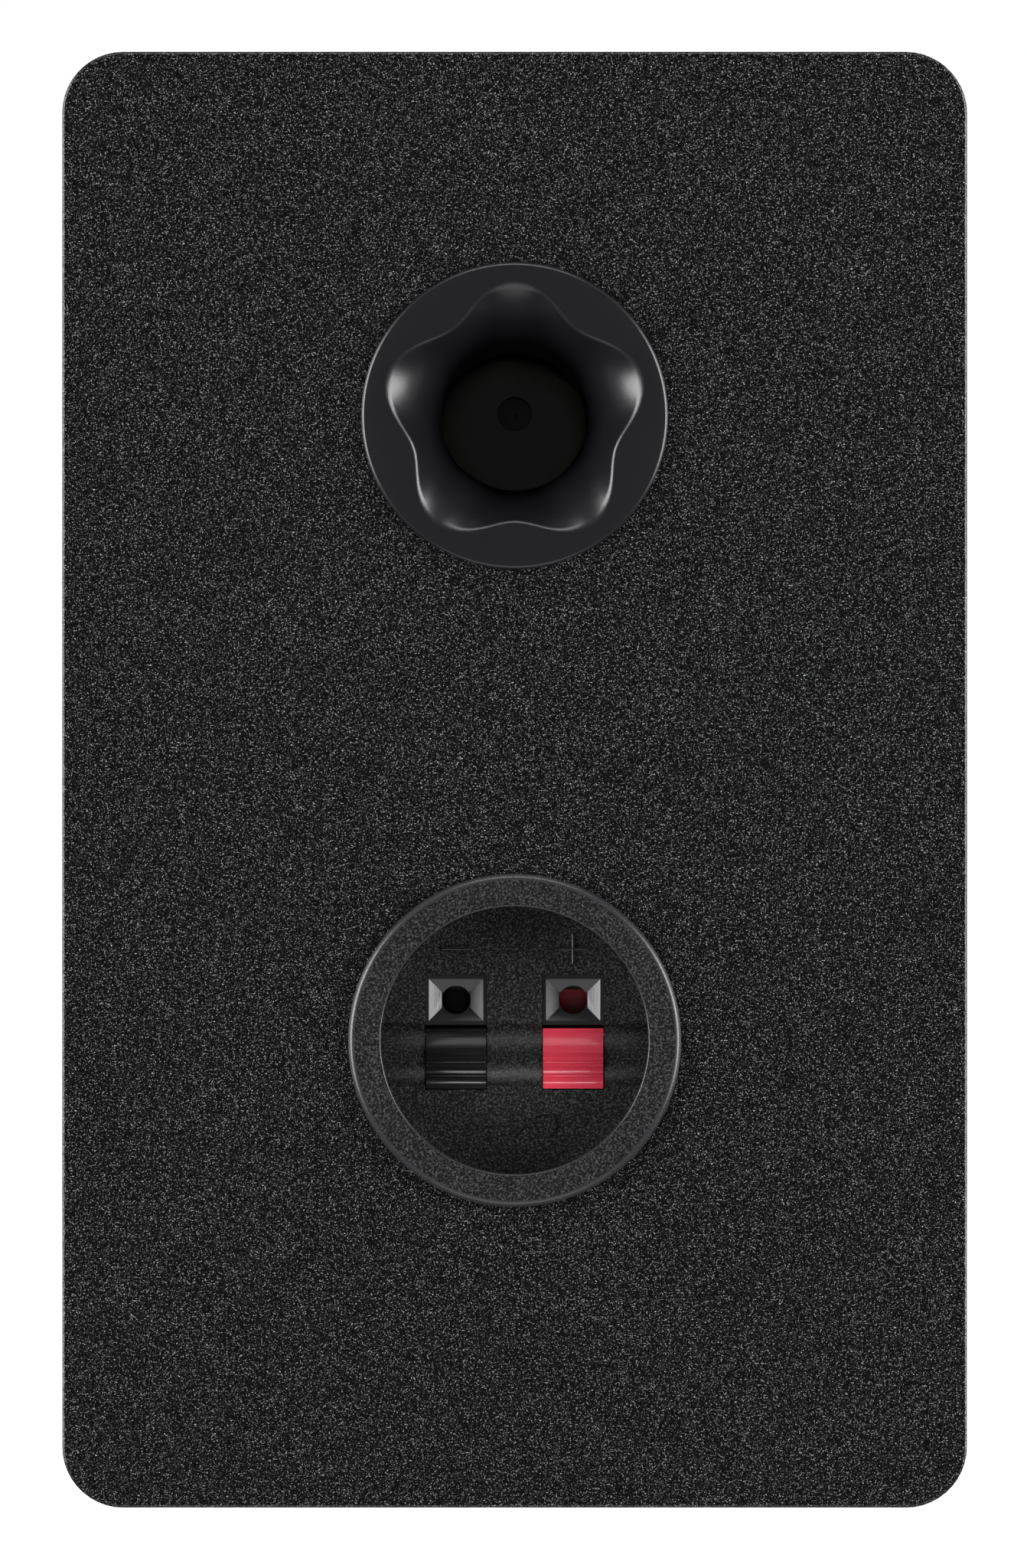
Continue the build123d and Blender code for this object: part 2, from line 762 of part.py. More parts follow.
cap_radius = 15.5
cap_dome = 6.0
cap_thickness = 0.6
cap_foot = cone_depth(cap_radius) - cap_thickness / 2
cap_apex = cap_foot - cap_dome
with BuildPart() as woofer_dust_cap:
    with BuildSketch(half_section(woofer_z)):
        cap_height = cap_foot - cap_apex
        sphere = (cap_radius**2 + cap_height**2) / (2 * cap_height)
        centre = behind_front(cap_apex + sphere)
        with BuildLine():
            lean = math.asin(cap_radius / sphere)
            outside = ThreePointArc(
                (centre - sphere, 0),
                (centre - sphere * math.cos(lean / 2), sphere * math.sin(lean / 2)),
                (centre - sphere * math.cos(lean), sphere * math.sin(lean)),
            )
            hollow = sphere - cap_thickness
            inside = ThreePointArc(
                (centre - hollow * math.cos(lean), hollow * math.sin(lean)),
                (centre - hollow * math.cos(lean / 2), hollow * math.sin(lean / 2)),
                (centre - hollow, 0),
            )
            Line(outside @ 1, inside @ 0)
            Line(inside @ 1, outside @ 0)
        make_face()
    revolve(axis=driver_axis(woofer_z))
save(woofer_dust_cap, "woofer_dust_cap")


def rolled_edge(name, z, inner, outer, seat, inner_lip, outer_lip, thickness, inner_seat):
    """A half-roll surround turned about a driver's axis, with a glued lip on each side."""
    middle = (inner + outer) / 2
    radius = (outer - inner) / 2
    with BuildPart() as piece:
        with BuildSketch(half_section(z)):
            with BuildLine():
                lip = Polyline(
                    (behind_front(seat), outer_lip),
                    (behind_front(seat - thickness), outer_lip),
                    (behind_front(seat - thickness), outer),
                )
                over = ThreePointArc(
                    lip @ 1,
                    (behind_front(seat - thickness - radius), middle),
                    (behind_front(inner_seat - thickness), inner),
                )
                low = Polyline(
                    over @ 1,
                    (behind_front(inner_seat - thickness), inner_lip),
                    (behind_front(inner_seat), inner_lip),
                    (behind_front(inner_seat), inner + thickness),
                )
                under = ThreePointArc(
                    low @ 1,
                    (behind_front(seat - radius), middle),
                    (behind_front(seat), outer - thickness),
                )
                Line(under @ 1, lip @ 0)
            make_face()
        revolve(axis=driver_axis(z))
    save(piece, name)


surround_thickness = 0.5
surround_lip = roll_outer + 2.5
rolled_edge(
    "woofer_surround", woofer_z, roll_inner, roll_outer, flange_face, roll_inner - 2.0,
    surround_lip, surround_thickness, cone_rim - fit,
)

# trim ring over the surround's outer lip
trim_face = -1.5
turned(
    "woofer_trim_ring", woofer_z,
    [
        (trim_face, roll_outer + 0.6),
        (flange_face - surround_thickness, roll_outer + 0.6),
        (flange_face - surround_thickness, surround_lip),
        (flange_face, surround_lip),
        (flange_face, surround_lip + 2.0),
        (trim_face + 0.6, surround_lip + 2.0),
        (trim_face, surround_lip + 1.4),
    ],
)

# The spider: a corrugated disc between the former and its seat in the basket.
spider_thickness = 0.4
spider_wave = 0.9
spider_waves = 5
first_crest = coil_radius + 1.5
last_crest = basket_throat - 0.5
spider_crests = [
    (first_crest + (last_crest - first_crest) * i / (2 * spider_waves), spider_wave * (-1) ** i)
    for i in range(2 * spider_waves)
]
spider_level = woofer_landing - spider_thickness
spider_front = (
    [(spider_level, coil_radius + fit)]
    + [(spider_level + lift, radius) for radius, lift in spider_crests]
    + [(spider_level, basket_throat), (spider_level, spider_outer)]
)
spider_back = [(depth + spider_thickness, radius) for depth, radius in reversed(spider_front)]
spider_outline = spider_front + spider_back
turned("woofer_spider", woofer_z, spider_outline)


def screws(name, places, face, length, shank, head_radius, head_height, key):
    """Pan-head screws with a hexagon socket, driven from the front; face is under the head."""
    with BuildPart() as group:
        with BuildSketch(facing(0, behind_front(face + length), 0)):
            with Locations(*places):
                Circle(shank)
        extrude(amount=length)
        with BuildSketch(facing(0, behind_front(face), 0)):
            with Locations(*places):
                Circle(head_radius)
        extrude(amount=head_height)
        fillet(
            group.edges().filter_by(GeomType.CIRCLE).group_by(Axis.Y)[0], radius=head_height * 0.4
        )
        with BuildSketch(facing(0, behind_front(face - head_height * 0.35), 0)):
            with Locations(*places):
                RegularPolygon(key, 6)
        extrude(amount=head_height, mode=Mode.SUBTRACT)
    save(group, name)


screws(
    "woofer_screws", on_circle(woofer_screw_circle, woofer_z), flange_face, woofer_screw_length - 1,
    woofer_screw_radius, 3.2, 1.9, 1.5,
)

# tag strip on the back of the basket's spider seat, with two tabs
strip_back = woofer_landing + basket_wall
strip_low = woofer_z - 45.0
strip_high = woofer_z - 30.5
tag_x = 5.0
tag_end = strip_back + 11.0
tag_z = woofer_z - 42.0
with BuildPart() as woofer_terminals:
    with BuildSketch(facing(0, behind_front(strip_back + 1.5), (strip_low + strip_high) / 2)):
        RectangleRounded(18.0, strip_high - strip_low, 1.5)
    extrude(amount=1.5)
    with BuildSketch(facing(0, behind_front(tag_end), tag_z)):
        with Locations((-tag_x, 0), (tag_x, 0)):
            Rectangle(4.0, 0.8)
    extrude(amount=tag_end - strip_back - 1.5)
save(woofer_terminals, "woofer_terminals")

# ================================================================ tweeter
plate_back = tweeter_seat + tweeter_plate_thickness
tweeter_yoke_face = plate_back + tweeter_magnet_length
tweeter_coil_wall = 0.3
tweeter_pole = dome_radius - coil_gap
dome_rim = dome_radius + tweeter_coil_wall
dome_roll_start = dome_rim + 0.3
dome_roll_end = dome_roll_start + dome_roll
tweeter_throat = dome_roll_end + 1.0
tweeter_mouth = tweeter_throat + horn_widening
faceplate_proud = 0.6

with BuildPart() as tweeter_faceplate:
    with BuildSketch(half_section(tweeter_z)):
        with BuildLine():
            horn = ThreePointArc(
                (behind_front(tweeter_seat), tweeter_throat),
                (behind_front(1.9), tweeter_throat + 1.6),
                (behind_front(-faceplate_proud), tweeter_mouth),
            )
            Polyline(
                horn @ 1,
                (behind_front(-faceplate_proud), tweeter_radius - 0.6),
                (behind_front(-faceplate_proud + 0.6), tweeter_radius),
                (behind_front(tweeter_rebate), tweeter_radius),
                (behind_front(tweeter_rebate), tweeter_boss),
                (behind_front(tweeter_seat), tweeter_boss),
                horn @ 0,
            )
        make_face()
    revolve(axis=driver_axis(tweeter_z))
    with BuildSketch(facing(0, behind_front(tweeter_rebate), 0)):
        with Locations(*on_circle(tweeter_screw_circle, tweeter_z)):
            Circle(tweeter_screw_radius + fit)
    extrude(amount=tweeter_rebate + faceplate_proud, mode=Mode.SUBTRACT)
save(tweeter_faceplate, "tweeter_faceplate")

screws(
    "tweeter_screws", on_circle(tweeter_screw_circle, tweeter_z), -faceplate_proud,
    tweeter_screw_length - 1, tweeter_screw_radius, 2.4, 1.3, 1.1,
)
turned(
    "tweeter_top_plate", tweeter_z,
    washer(
        tweeter_seat, tweeter_plate_thickness, dome_rim + coil_gap + 0.1,
        tweeter_plate_radius,
    ),
)
turned(
    "tweeter_magnet", tweeter_z,
    washer(plate_back, tweeter_magnet_length, tweeter_pole + 4.0, tweeter_plate_radius),
)
tweeter_vent = 3.0
turned(
    "tweeter_yoke", tweeter_z,
    [
        (tweeter_seat, tweeter_vent),
        (tweeter_seat, tweeter_pole),
        (tweeter_yoke_face, tweeter_pole),
        (tweeter_yoke_face, tweeter_plate_radius - 2.0),
        (tweeter_yoke_face + tweeter_plate_thickness, tweeter_plate_radius - 2.0),
        (tweeter_yoke_face + tweeter_plate_thickness, tweeter_vent),
    ],
)
dome_foot = tweeter_seat - 1.1
turned(
    "tweeter_voice_coil", tweeter_z,
    washer(dome_foot, 5.0, dome_radius, dome_rim),
)

dome_thickness = 0.3
with BuildPart() as tweeter_dome:
    with BuildSketch(half_section(tweeter_z)):
        dome_sphere = (dome_rim**2 + dome_height**2) / (2 * dome_height)
        dome_centre = behind_front(dome_foot - dome_height + dome_sphere)
        rim_angle = math.asin(dome_rim / dome_sphere)
        with BuildLine():
            shell_out = ThreePointArc(
                (dome_centre - dome_sphere, 0),
                (
                    dome_centre - dome_sphere * math.cos(rim_angle / 2),
                    dome_sphere * math.sin(rim_angle / 2),
                ),
                (behind_front(dome_foot), dome_rim),
            )
            thin = dome_sphere - dome_thickness
            shell_in = ThreePointArc(
                (behind_front(dome_foot), math.sqrt(thin**2 - (dome_sphere - dome_height) ** 2)),
                (dome_centre - thin * math.cos(rim_angle / 2), thin * math.sin(rim_angle / 2)),
                (dome_centre - thin, 0),
            )
            Line(shell_out @ 1, shell_in @ 0)
            Line(shell_in @ 1, shell_out @ 0)
        make_face()
    revolve(axis=driver_axis(tweeter_z))
save(tweeter_dome, "tweeter_dome")

# the fabric roll between the dome and the top plate
rolled_edge(
    "tweeter_surround", tweeter_z, dome_roll_start, dome_roll_end, tweeter_seat, dome_rim + fit,
    tweeter_throat - 0.1, 0.25, tweeter_seat - 0.6,
)

tweeter_tag_z = tweeter_z - 27.6
tweeter_tag_end = tweeter_seat + 10.0
with BuildPart() as tweeter_terminals:
    with BuildSketch(facing(0, behind_front(tweeter_seat + 3.0), tweeter_tag_z)):
        Rectangle(14.0, 3.2)
    extrude(amount=3.0)
    with BuildSketch(facing(0, behind_front(tweeter_tag_end), tweeter_tag_z)):
        with Locations((-4.4, 0), (4.4, 0)):
            Rectangle(3.0, 0.8)
    extrude(amount=tweeter_tag_end - tweeter_seat - 3.0)
save(tweeter_terminals, "tweeter_terminals")

# ================================================================ crossover
board_middle = behind_front(board_front + board_length / 2)
board_top = board_z + board_thickness
board_holes = [
    (side * (board_width / 2 - 4.0), board_middle + end * (board_length / 2 - 4.0))
    for side in (-1, 1)
    for end in (-1, 1)
]
board_screw = 1.4

with BuildPart() as crossover_board:
    with BuildSketch(Plane.XY.offset(board_z)):
        with Locations((0, board_middle)):
            RectangleRounded(board_width, board_length, 2.0)
        with Locations(*board_holes):
            Circle(board_screw + slip, mode=Mode.SUBTRACT)
    extrude(amount=board_thickness)
save(crossover_board, "crossover_board")

with BuildPart() as crossover_standoffs:
    with BuildSketch(Plane.XY.offset(floor_z)):
        with Locations(*board_holes):
            Circle(3.2)
            Circle(board_screw + slip, mode=Mode.SUBTRACT)
    extrude(amount=standoff_height)
save(crossover_standoffs, "crossover_standoffs")

with BuildPart() as crossover_screws:
    with BuildSketch(Plane.XY.offset(floor_z)):
        with Locations(*board_holes):
            Circle(board_screw)
    extrude(amount=board_top - floor_z)
    with BuildSketch(Plane.XY.offset(board_top)):
        with Locations(*board_holes):
            Circle(2.8)
    extrude(amount=1.6)
save(crossover_screws, "crossover_screws")

coil_place = (-17.0, board_middle + 12.0)
bobbin_radius = 13.5
bobbin_core = 5.0
bobbin_height = 18.0
bobbin_cheek = 1.5
with BuildPart() as crossover_bobbin:
    with BuildSketch(Plane.XY.offset(board_top)):
        with Locations(coil_place):
            Circle(bobbin_core)
    extrude(amount=bobbin_height)
    for cheek_z in (board_top, board_top + bobbin_height - bobbin_cheek):
        with BuildSketch(Plane.XY.offset(cheek_z)):
            with Locations(coil_place):
                Circle(bobbin_radius)
        extrude(amount=bobbin_cheek)
save(crossover_bobbin, "crossover_bobbin")

with BuildPart() as crossover_winding:
    with BuildSketch(Plane.XY.offset(board_top + bobbin_cheek)):
        with Locations(coil_place):
            Circle(bobbin_radius - 1.5)
            Circle(bobbin_core, mode=Mode.SUBTRACT)
    extrude(amount=bobbin_height - 2 * bobbin_cheek)
save(crossover_winding, "crossover_winding")

capacitor_radius = 6.5
capacitor_length = 27.0
with BuildPart() as crossover_capacitor:
    capacitor_plane = Plane(
        origin=(16.0, board_middle - 8.0 - capacitor_length / 2, board_top + capacitor_radius),
        x_dir=(1, 0, 0), z_dir=(0, 1, 0),
    )
    with BuildSketch(capacitor_plane):
        Circle(capacitor_radius)
    extrude(amount=capacitor_length)
    fillet(crossover_capacitor.edges(), radius=0.8)
save(crossover_capacitor, "crossover_capacitor")

with BuildPart() as crossover_resistor:
    with BuildSketch(Plane.XY.offset(board_top)):
        with Locations((17.0, board_middle + 18.0)):
            Rectangle(22.0, 9.0)
    extrude(amount=9.0)
    fillet(crossover_resistor.edges().filter_by(Axis.X).group_by(Axis.Z)[-1], radius=1.0)
save(crossover_resistor, "crossover_resistor")

# ================================================================ leads inside the cabinet


def lead(name, points):
    """An insulated wire: straight runs joined by arcs as large as the two runs allow."""
    corners = [Vector(*p) for p in points]
    radii = []
    for before, corner, after in zip(corners, corners[1:], corners[2:]):
        into = corner - before
        out = after - corner
        turn = math.radians(into.get_angle(out))
        radii.append(0.45 * min(into.length, out.length) / math.tan(turn / 2))
    with BuildPart() as wire:
        with BuildLine() as route:
            FilletPolyline(*corners, radius=radii)
        route_line = route.wires()[0]
        with BuildSketch(Plane(origin=route_line @ 0, z_dir=route_line % 0)):
            Circle(lead_radius)
        sweep(path=route_line)
    expected = math.pi * lead_radius**2 * route_line.length
    print(name, "radii", [round(r, 1) for r in radii], "length", round(route_line.length, 1),
          "volume share", round(wire.part.volume / expected, 4))
    save(wire, name)


tab_middle_z = cup_z + chamber_floor + leaf_thickness / 2
tab_end_y = from_back(tab_reach)
tag_y = behind_front(tag_end)
tweeter_tag_y = behind_front(tweeter_tag_end)
board_back_y = behind_front(board_front + board_length)
board_front_y = behind_front(board_front)

for pole_name, side in (("negative", 1), ("positive", -1)):
    tab_x = side * terminal_x
    pad_x = side * 8.0
    lead(
        f"{pole_name}_input_lead",
        [
            (tab_x, tab_end_y, tab_middle_z),
            (tab_x, tab_end_y - 12, tab_middle_z),
            (tab_x + side * 1.5, tab_end_y - 20, tab_middle_z - 14),
            (pad_x, board_back_y - 3.5, board_top + 19),
            (pad_x, board_back_y - 3.5, board_top),
        ],
    )
    lead(
        f"{pole_name}_woofer_lead",
        [
            (side * tag_x, tag_y, tag_z),
            (side * tag_x, tag_y + 16, tag_z),
            (side * (tag_x + 1.5), tag_y + 36, tag_z - 1.5),
            (pad_x, board_front_y + 5, tag_z - 5),
            (pad_x, board_front_y + 5, board_top),
        ],
    )

tweeter_tag_x = 4.4
lead(
    "positive_tweeter_lead",
    [
        (-tweeter_tag_x, tweeter_tag_y, tweeter_tag_z),
        (-tweeter_tag_x, tweeter_tag_y + 13, tweeter_tag_z),
        (-16, tweeter_tag_y + 27, tweeter_tag_z - 6),
        (-33, tweeter_tag_y + 39, tweeter_tag_z - 21),
        (-44, tweeter_tag_y + 52, tweeter_tag_z - 46),
        (-46, tweeter_tag_y + 66, tweeter_tag_z - 76),
        (-39, tweeter_tag_y + 78, board_top + 36),
        (-22, board_front_y + 5, board_top + 22),
        (-22, board_front_y + 5, board_top),
    ],
)
lead(
    "negative_tweeter_lead",
    [
        (tweeter_tag_x, tweeter_tag_y, tweeter_tag_z),
        (tweeter_tag_x, tweeter_tag_y + 19, tweeter_tag_z),
        (-9, tweeter_tag_y + 38, tweeter_tag_z - 5),
        (-29, tweeter_tag_y + 52, tweeter_tag_z - 20),
        (-41, tweeter_tag_y + 65, tweeter_tag_z - 45),
        (-43, tweeter_tag_y + 78, tweeter_tag_z - 75),
        (-36, tweeter_tag_y + 90, board_top + 37),
        (-22, board_front_y + 13, board_top + 24),
        (-22, board_front_y + 13, board_top),
    ],
)

# ================================================================ grille
grille_back = -moving_gap
frame_face = grille_back - grille_depth + cloth_thickness
cloth_width = width - 2 * grille_margin
cloth_height = height - 2 * grille_margin
frame_width = cloth_width - 2 * cloth_thickness
frame_height = cloth_height - 2 * cloth_thickness
cloth_corner = corner_radius - grille_margin

with BuildPart() as grille_frame:
    with BuildSketch(facing(0, behind_front(grille_back), height / 2)):
        RectangleRounded(frame_width, frame_height, cloth_corner - cloth_thickness)
        RectangleRounded(
            frame_width - 2 * grille_bar, frame_height - 2 * grille_bar, 4.0, mode=Mode.SUBTRACT
        )
    extrude(amount=grille_back - frame_face)
    with BuildSketch(facing(0, behind_front(grille_back), 0)):
        with Locations(*peg_places):
            Circle(peg_radius + fit)
    extrude(amount=peg_root, mode=Mode.SUBTRACT)
save(grille_frame, "grille_frame")

with BuildPart() as grille_cloth:
    with BuildSketch(facing(0, behind_front(grille_back), height / 2)):
        RectangleRounded(cloth_width, cloth_height, cloth_corner)
    extrude(amount=grille_depth)
    fillet(grille_cloth.faces().sort_by(Axis.Y)[0].edges(), radius=cloth_thickness * 0.8)
    with BuildSketch(facing(0, behind_front(grille_back), height / 2)):
        RectangleRounded(frame_width, frame_height, cloth_corner - cloth_thickness)
    extrude(amount=grille_back - frame_face, mode=Mode.SUBTRACT)
save(grille_cloth, "grille_cloth")

with BuildPart() as grille_pegs:
    with BuildSketch(facing(0, behind_front(peg_reach), 0)):
        with Locations(*peg_places):
            Circle(peg_radius)
    extrude(amount=peg_reach - grille_back + peg_root)
    chamfer(
        grille_pegs.edges().filter_by(GeomType.CIRCLE).group_by(Axis.Y)[-1], length=0.8
    )
save(grille_pegs, "grille_pegs")

with BuildPart() as grille_sockets:
    with BuildSketch(facing(0, behind_front(socket_depth), 0)):
        with Locations(*peg_places):
            Circle(socket_radius)
            Circle(peg_radius + fit, mode=Mode.SUBTRACT)
    extrude(amount=socket_depth)
save(grille_sockets, "grille_sockets")

print("overall depth", round(overall_depth, 2), "back face at", round(back_y, 2),
      "front face at", round(front_y, 2))
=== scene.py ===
# %% [markdown]
# # A small bookshelf loudspeaker, seen from behind
# The object is a two-way loudspeaker for a shelf. Its cabinet is board under black textured
# paint. The back has a reflex port with a five-lobed mouth, and a round cup with two push
# terminals. The front has a pull-off grille of knitted cloth over a woofer and a tweeter.
#
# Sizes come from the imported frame, where every solid already stands in its place. A solid whose
# shape is right only gets a finish. Soft and rolled parts, and parts whose small edges catch the
# light, are modelled again on top of the frame.

# %% Load the frame
import math

import bmesh
import bpy
from mathutils import Matrix, Vector, noise
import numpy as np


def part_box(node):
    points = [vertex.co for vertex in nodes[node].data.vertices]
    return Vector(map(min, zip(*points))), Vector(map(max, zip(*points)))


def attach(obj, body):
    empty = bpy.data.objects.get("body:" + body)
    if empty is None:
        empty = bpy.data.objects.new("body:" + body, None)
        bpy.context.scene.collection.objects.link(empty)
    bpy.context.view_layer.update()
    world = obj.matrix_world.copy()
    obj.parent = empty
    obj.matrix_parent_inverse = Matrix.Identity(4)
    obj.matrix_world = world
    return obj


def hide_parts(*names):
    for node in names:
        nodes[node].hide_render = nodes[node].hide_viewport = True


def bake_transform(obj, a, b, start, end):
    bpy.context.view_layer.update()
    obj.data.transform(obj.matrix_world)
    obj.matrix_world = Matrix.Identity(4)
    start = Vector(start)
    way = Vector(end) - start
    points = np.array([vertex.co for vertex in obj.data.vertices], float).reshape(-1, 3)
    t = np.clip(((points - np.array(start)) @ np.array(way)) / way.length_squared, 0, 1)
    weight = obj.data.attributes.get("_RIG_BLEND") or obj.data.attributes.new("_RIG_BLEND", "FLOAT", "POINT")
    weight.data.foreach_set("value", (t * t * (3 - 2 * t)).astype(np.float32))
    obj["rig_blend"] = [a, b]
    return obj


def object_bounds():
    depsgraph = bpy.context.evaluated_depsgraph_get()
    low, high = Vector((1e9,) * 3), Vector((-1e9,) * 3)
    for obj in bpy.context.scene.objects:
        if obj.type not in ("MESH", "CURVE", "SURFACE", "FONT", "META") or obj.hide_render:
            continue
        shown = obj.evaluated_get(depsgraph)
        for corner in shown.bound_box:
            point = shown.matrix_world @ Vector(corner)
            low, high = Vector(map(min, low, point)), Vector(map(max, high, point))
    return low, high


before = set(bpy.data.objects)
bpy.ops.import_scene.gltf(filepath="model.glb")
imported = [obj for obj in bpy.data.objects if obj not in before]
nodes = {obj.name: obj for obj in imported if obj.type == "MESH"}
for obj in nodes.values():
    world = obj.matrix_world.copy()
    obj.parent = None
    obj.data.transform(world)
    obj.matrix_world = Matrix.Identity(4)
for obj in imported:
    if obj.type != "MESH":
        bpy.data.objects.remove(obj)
cad_low, cad_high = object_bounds()
MM = 0.001
print("box from", [round(v, 4) for v in cad_low], "to", [round(v, 4) for v in cad_high])

# %% [markdown]
# ## Camera
# A product picture of a flat back is taken from far away with a long lens, so that the sides
# don't show and the corners stay square. The camera stands 3.5 m behind the speaker, about level
# with the middle of its height, and takes in a field a little larger than the back.

# %% Place the camera
rear_low, rear_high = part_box("rear_panel")
camera_distance = 3.5
field_height = 0.2563
camera_x, camera_z = 0.00018, 0.1183
camera_data = bpy.data.cameras.new("camera")
camera_data.sensor_width = 36.0
camera_data.lens = camera_data.sensor_width * camera_distance / field_height
camera = bpy.data.objects.new("camera", camera_data)
camera.location = (camera_x, rear_high.y + camera_distance, camera_z)
camera.rotation_euler = (math.radians(90), 0, math.radians(180))
bpy.context.scene.collection.objects.link(camera)
bpy.context.scene.camera = camera
print("lens", round(camera_data.lens), "mm")

# %% [markdown]
# ## Materials: the helpers
# Each finish is a small node tree. One function adds a node, sets its properties and links its
# inputs. One turns a colour as a designer writes it, sRGB hex, into the linear numbers that a
# renderer works with. One starts a material with the values that are the same all over.

# %% Material helpers
def linear(hex_colour):
    """Linear RGBA of an sRGB hex colour such as '#1e1e1e'."""
    channels = [int(hex_colour[i : i + 2], 16) / 255 for i in (1, 3, 5)]
    straight = [c / 12.92 if c <= 0.04045 else ((c + 0.055) / 1.055) ** 2.4 for c in channels]
    return (*straight, 1.0)


def add(tree, kind, inputs=None, **settings):
    """Adds a node. settings are its properties; inputs are values or other nodes' sockets."""
    node = tree.nodes.new(kind)
    for name, value in settings.items():
        setattr(node, name, value)
    for name, value in (inputs or {}).items():
        if isinstance(value, bpy.types.NodeSocket):
            tree.links.new(value, node.inputs[name])
        else:
            node.inputs[name].default_value = value
    return node


def start_material(name, colour, roughness, **values):
    """A material with a Principled shader. values are more of its sockets, by name."""
    material = bpy.data.materials.new(name)
    material.use_nodes = True
    tree = material.node_tree
    shader = tree.nodes["Principled BSDF"]
    shader.inputs["Base Color"].default_value = linear(colour)
    shader.inputs["Roughness"].default_value = roughness
    for socket, value in values.items():
        shader.inputs[socket.replace("_", " ")].default_value = value
    return material, tree, shader


def place_scaled(tree, size_mm, stretch=(1, 1, 1)):
    """Object coordinates in which one unit is size_mm, longer along an axis where stretch is big."""
    place = add(tree, "ShaderNodeTexCoord")
    scale = [1 / (size_mm * MM * s) for s in stretch]
    mapping = add(tree, "ShaderNodeMapping", {"Vector": place.outputs["Object"], "Scale": scale})
    return mapping.outputs["Vector"]


def set_bump(tree, shader, height, height_mm):
    """Lets a height from 0 to 1 tilt the surface, height_mm from its low to its high."""
    inputs = {"Height": height, "Strength": 1.0, "Distance": height_mm * MM}
    bump = add(tree, "ShaderNodeBump", inputs)
    tree.links.new(bump.outputs["Normal"], shader.inputs["Normal"])


def vary_colour(tree, shader, factor, dark, light):
    """Base colour that runs between two hex colours with a factor from 0 to 1."""
    ramp = add(tree, "ShaderNodeValToRGB", {"Fac": factor})
    ramp.color_ramp.elements[0].color = linear(dark)
    ramp.color_ramp.elements[1].color = linear(light)
    tree.links.new(ramp.outputs["Color"], shader.inputs["Base Color"])


def vary_roughness(tree, shader, factor, low, high):
    """Roughness that runs between two values with a factor from 0 to 1."""
    span = {"Value": factor, "To Min": low, "To Max": high}
    spread = add(tree, "ShaderNodeMapRange", span)
    tree.links.new(spread.outputs["Result"], shader.inputs["Roughness"])


def finish_node(material, *names):
    """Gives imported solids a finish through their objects' material slots."""
    for name in names:
        node = nodes[name]
        if not node.material_slots:
            node.data.materials.append(material)
        for place in node.material_slots:
            place.material = material


# %% [markdown]
# ## Textured paint
# Cabinets like this are sprayed with a nitrocellulose or acrylic texture paint, or wrapped in
# embossed film. Either way the eye sees a black skin of small soft pebbles, each about half a
# millimetre across, and some of them catch a light. A Voronoi pattern gives the pebbles and a
# finer noise breaks up their tops. The glints where pebbles catch a light are smaller than a
# render resolves, so they are also painted into the base colour as bright specks, painted
# highlights a little coarser than the real ones.

# %% Textured black paint
pebble_mm = 0.5
paint, tree, shader = start_material("textured_black_paint", "#080808", 0.4)
pebble_place = place_scaled(tree, pebble_mm)
wander = add(tree, "ShaderNodeTexNoise", {"Vector": pebble_place, "Scale": 0.9, "Detail": 1.0})
shifted = add(tree, "ShaderNodeMixRGB", {"Fac": 0.35, "Color1": pebble_place,
                                         "Color2": wander.outputs["Color"]}, blend_type="ADD")
pebbles = add(tree, "ShaderNodeTexVoronoi", {"Vector": shifted.outputs["Color"], "Scale": 1.0,
                                             "Smoothness": 0.6}, feature="SMOOTH_F1")
tops = add(tree, "ShaderNodeTexNoise", {"Vector": pebble_place, "Scale": 2.6, "Detail": 2.0})
relief = add(tree, "ShaderNodeMath", {0: pebbles.outputs["Distance"], 1: -1.0, 2: 1.0},
             operation="MULTIPLY_ADD")
both = add(tree, "ShaderNodeMath", {0: tops.outputs["Fac"], 1: 0.7, 2: relief.outputs["Value"]},
           operation="MULTIPLY_ADD")
set_bump(tree, shader, both.outputs["Value"], 0.05)
# Painted highlights: sparse bright specks in the base colour stand for the pebbles' glints.
painted_glints = add(tree, "ShaderNodeTexNoise", {"Vector": pebble_place, "Scale": 2.3, "Detail": 3.0,
                                          "Roughness": 0.7})
painted_glint_mask = add(tree, "ShaderNodeMapRange", {"Value": painted_glints.outputs["Fac"], "From Min": 0.58,
                                          "From Max": 0.8})
vary_colour(tree, shader, painted_glint_mask.outputs["Result"], "#010101", "#c4c4c6")
vary_roughness(tree, shader, wander.outputs["Fac"], 0.22, 0.32)
finish_node(paint, "rear_panel", "left_panel", "right_panel", "top_panel", "bottom_panel")

# %% [markdown]
# ## Moulded plastics
# The port is satin ABS from a polished and lightly blasted mould. The cup is the same plastic
# from a spark-eroded mould, which leaves a sharper grain; its sparkle is painted into the base
# colour as lighter specks, a painted highlight. The wire guides and the levers come from
# polished steel, and fine cutter lines still show in their facets.

# %% Satin port plastic
satin, tree, shader = start_material("satin_black_abs", "#111114", 0.3)
satin_grain = add(tree, "ShaderNodeTexNoise", {"Vector": place_scaled(tree, 0.28), "Scale": 1.0,
                                               "Detail": 3.0})
set_bump(tree, shader, satin_grain.outputs["Fac"], 0.012)
vary_roughness(tree, shader, satin_grain.outputs["Fac"], 0.26, 0.34)
finish_node(satin, "port_tube")

# %% Spark-eroded cup plastic
eroded, tree, shader = start_material("spark_eroded_black_abs", "#1d1d1f", 0.36)
erosion_place = place_scaled(tree, 0.34)
erosion = add(tree, "ShaderNodeTexNoise", {"Vector": erosion_place, "Scale": 1.0, "Detail": 3.0,
                                           "Roughness": 0.65})
set_bump(tree, shader, erosion.outputs["Fac"], 0.06)
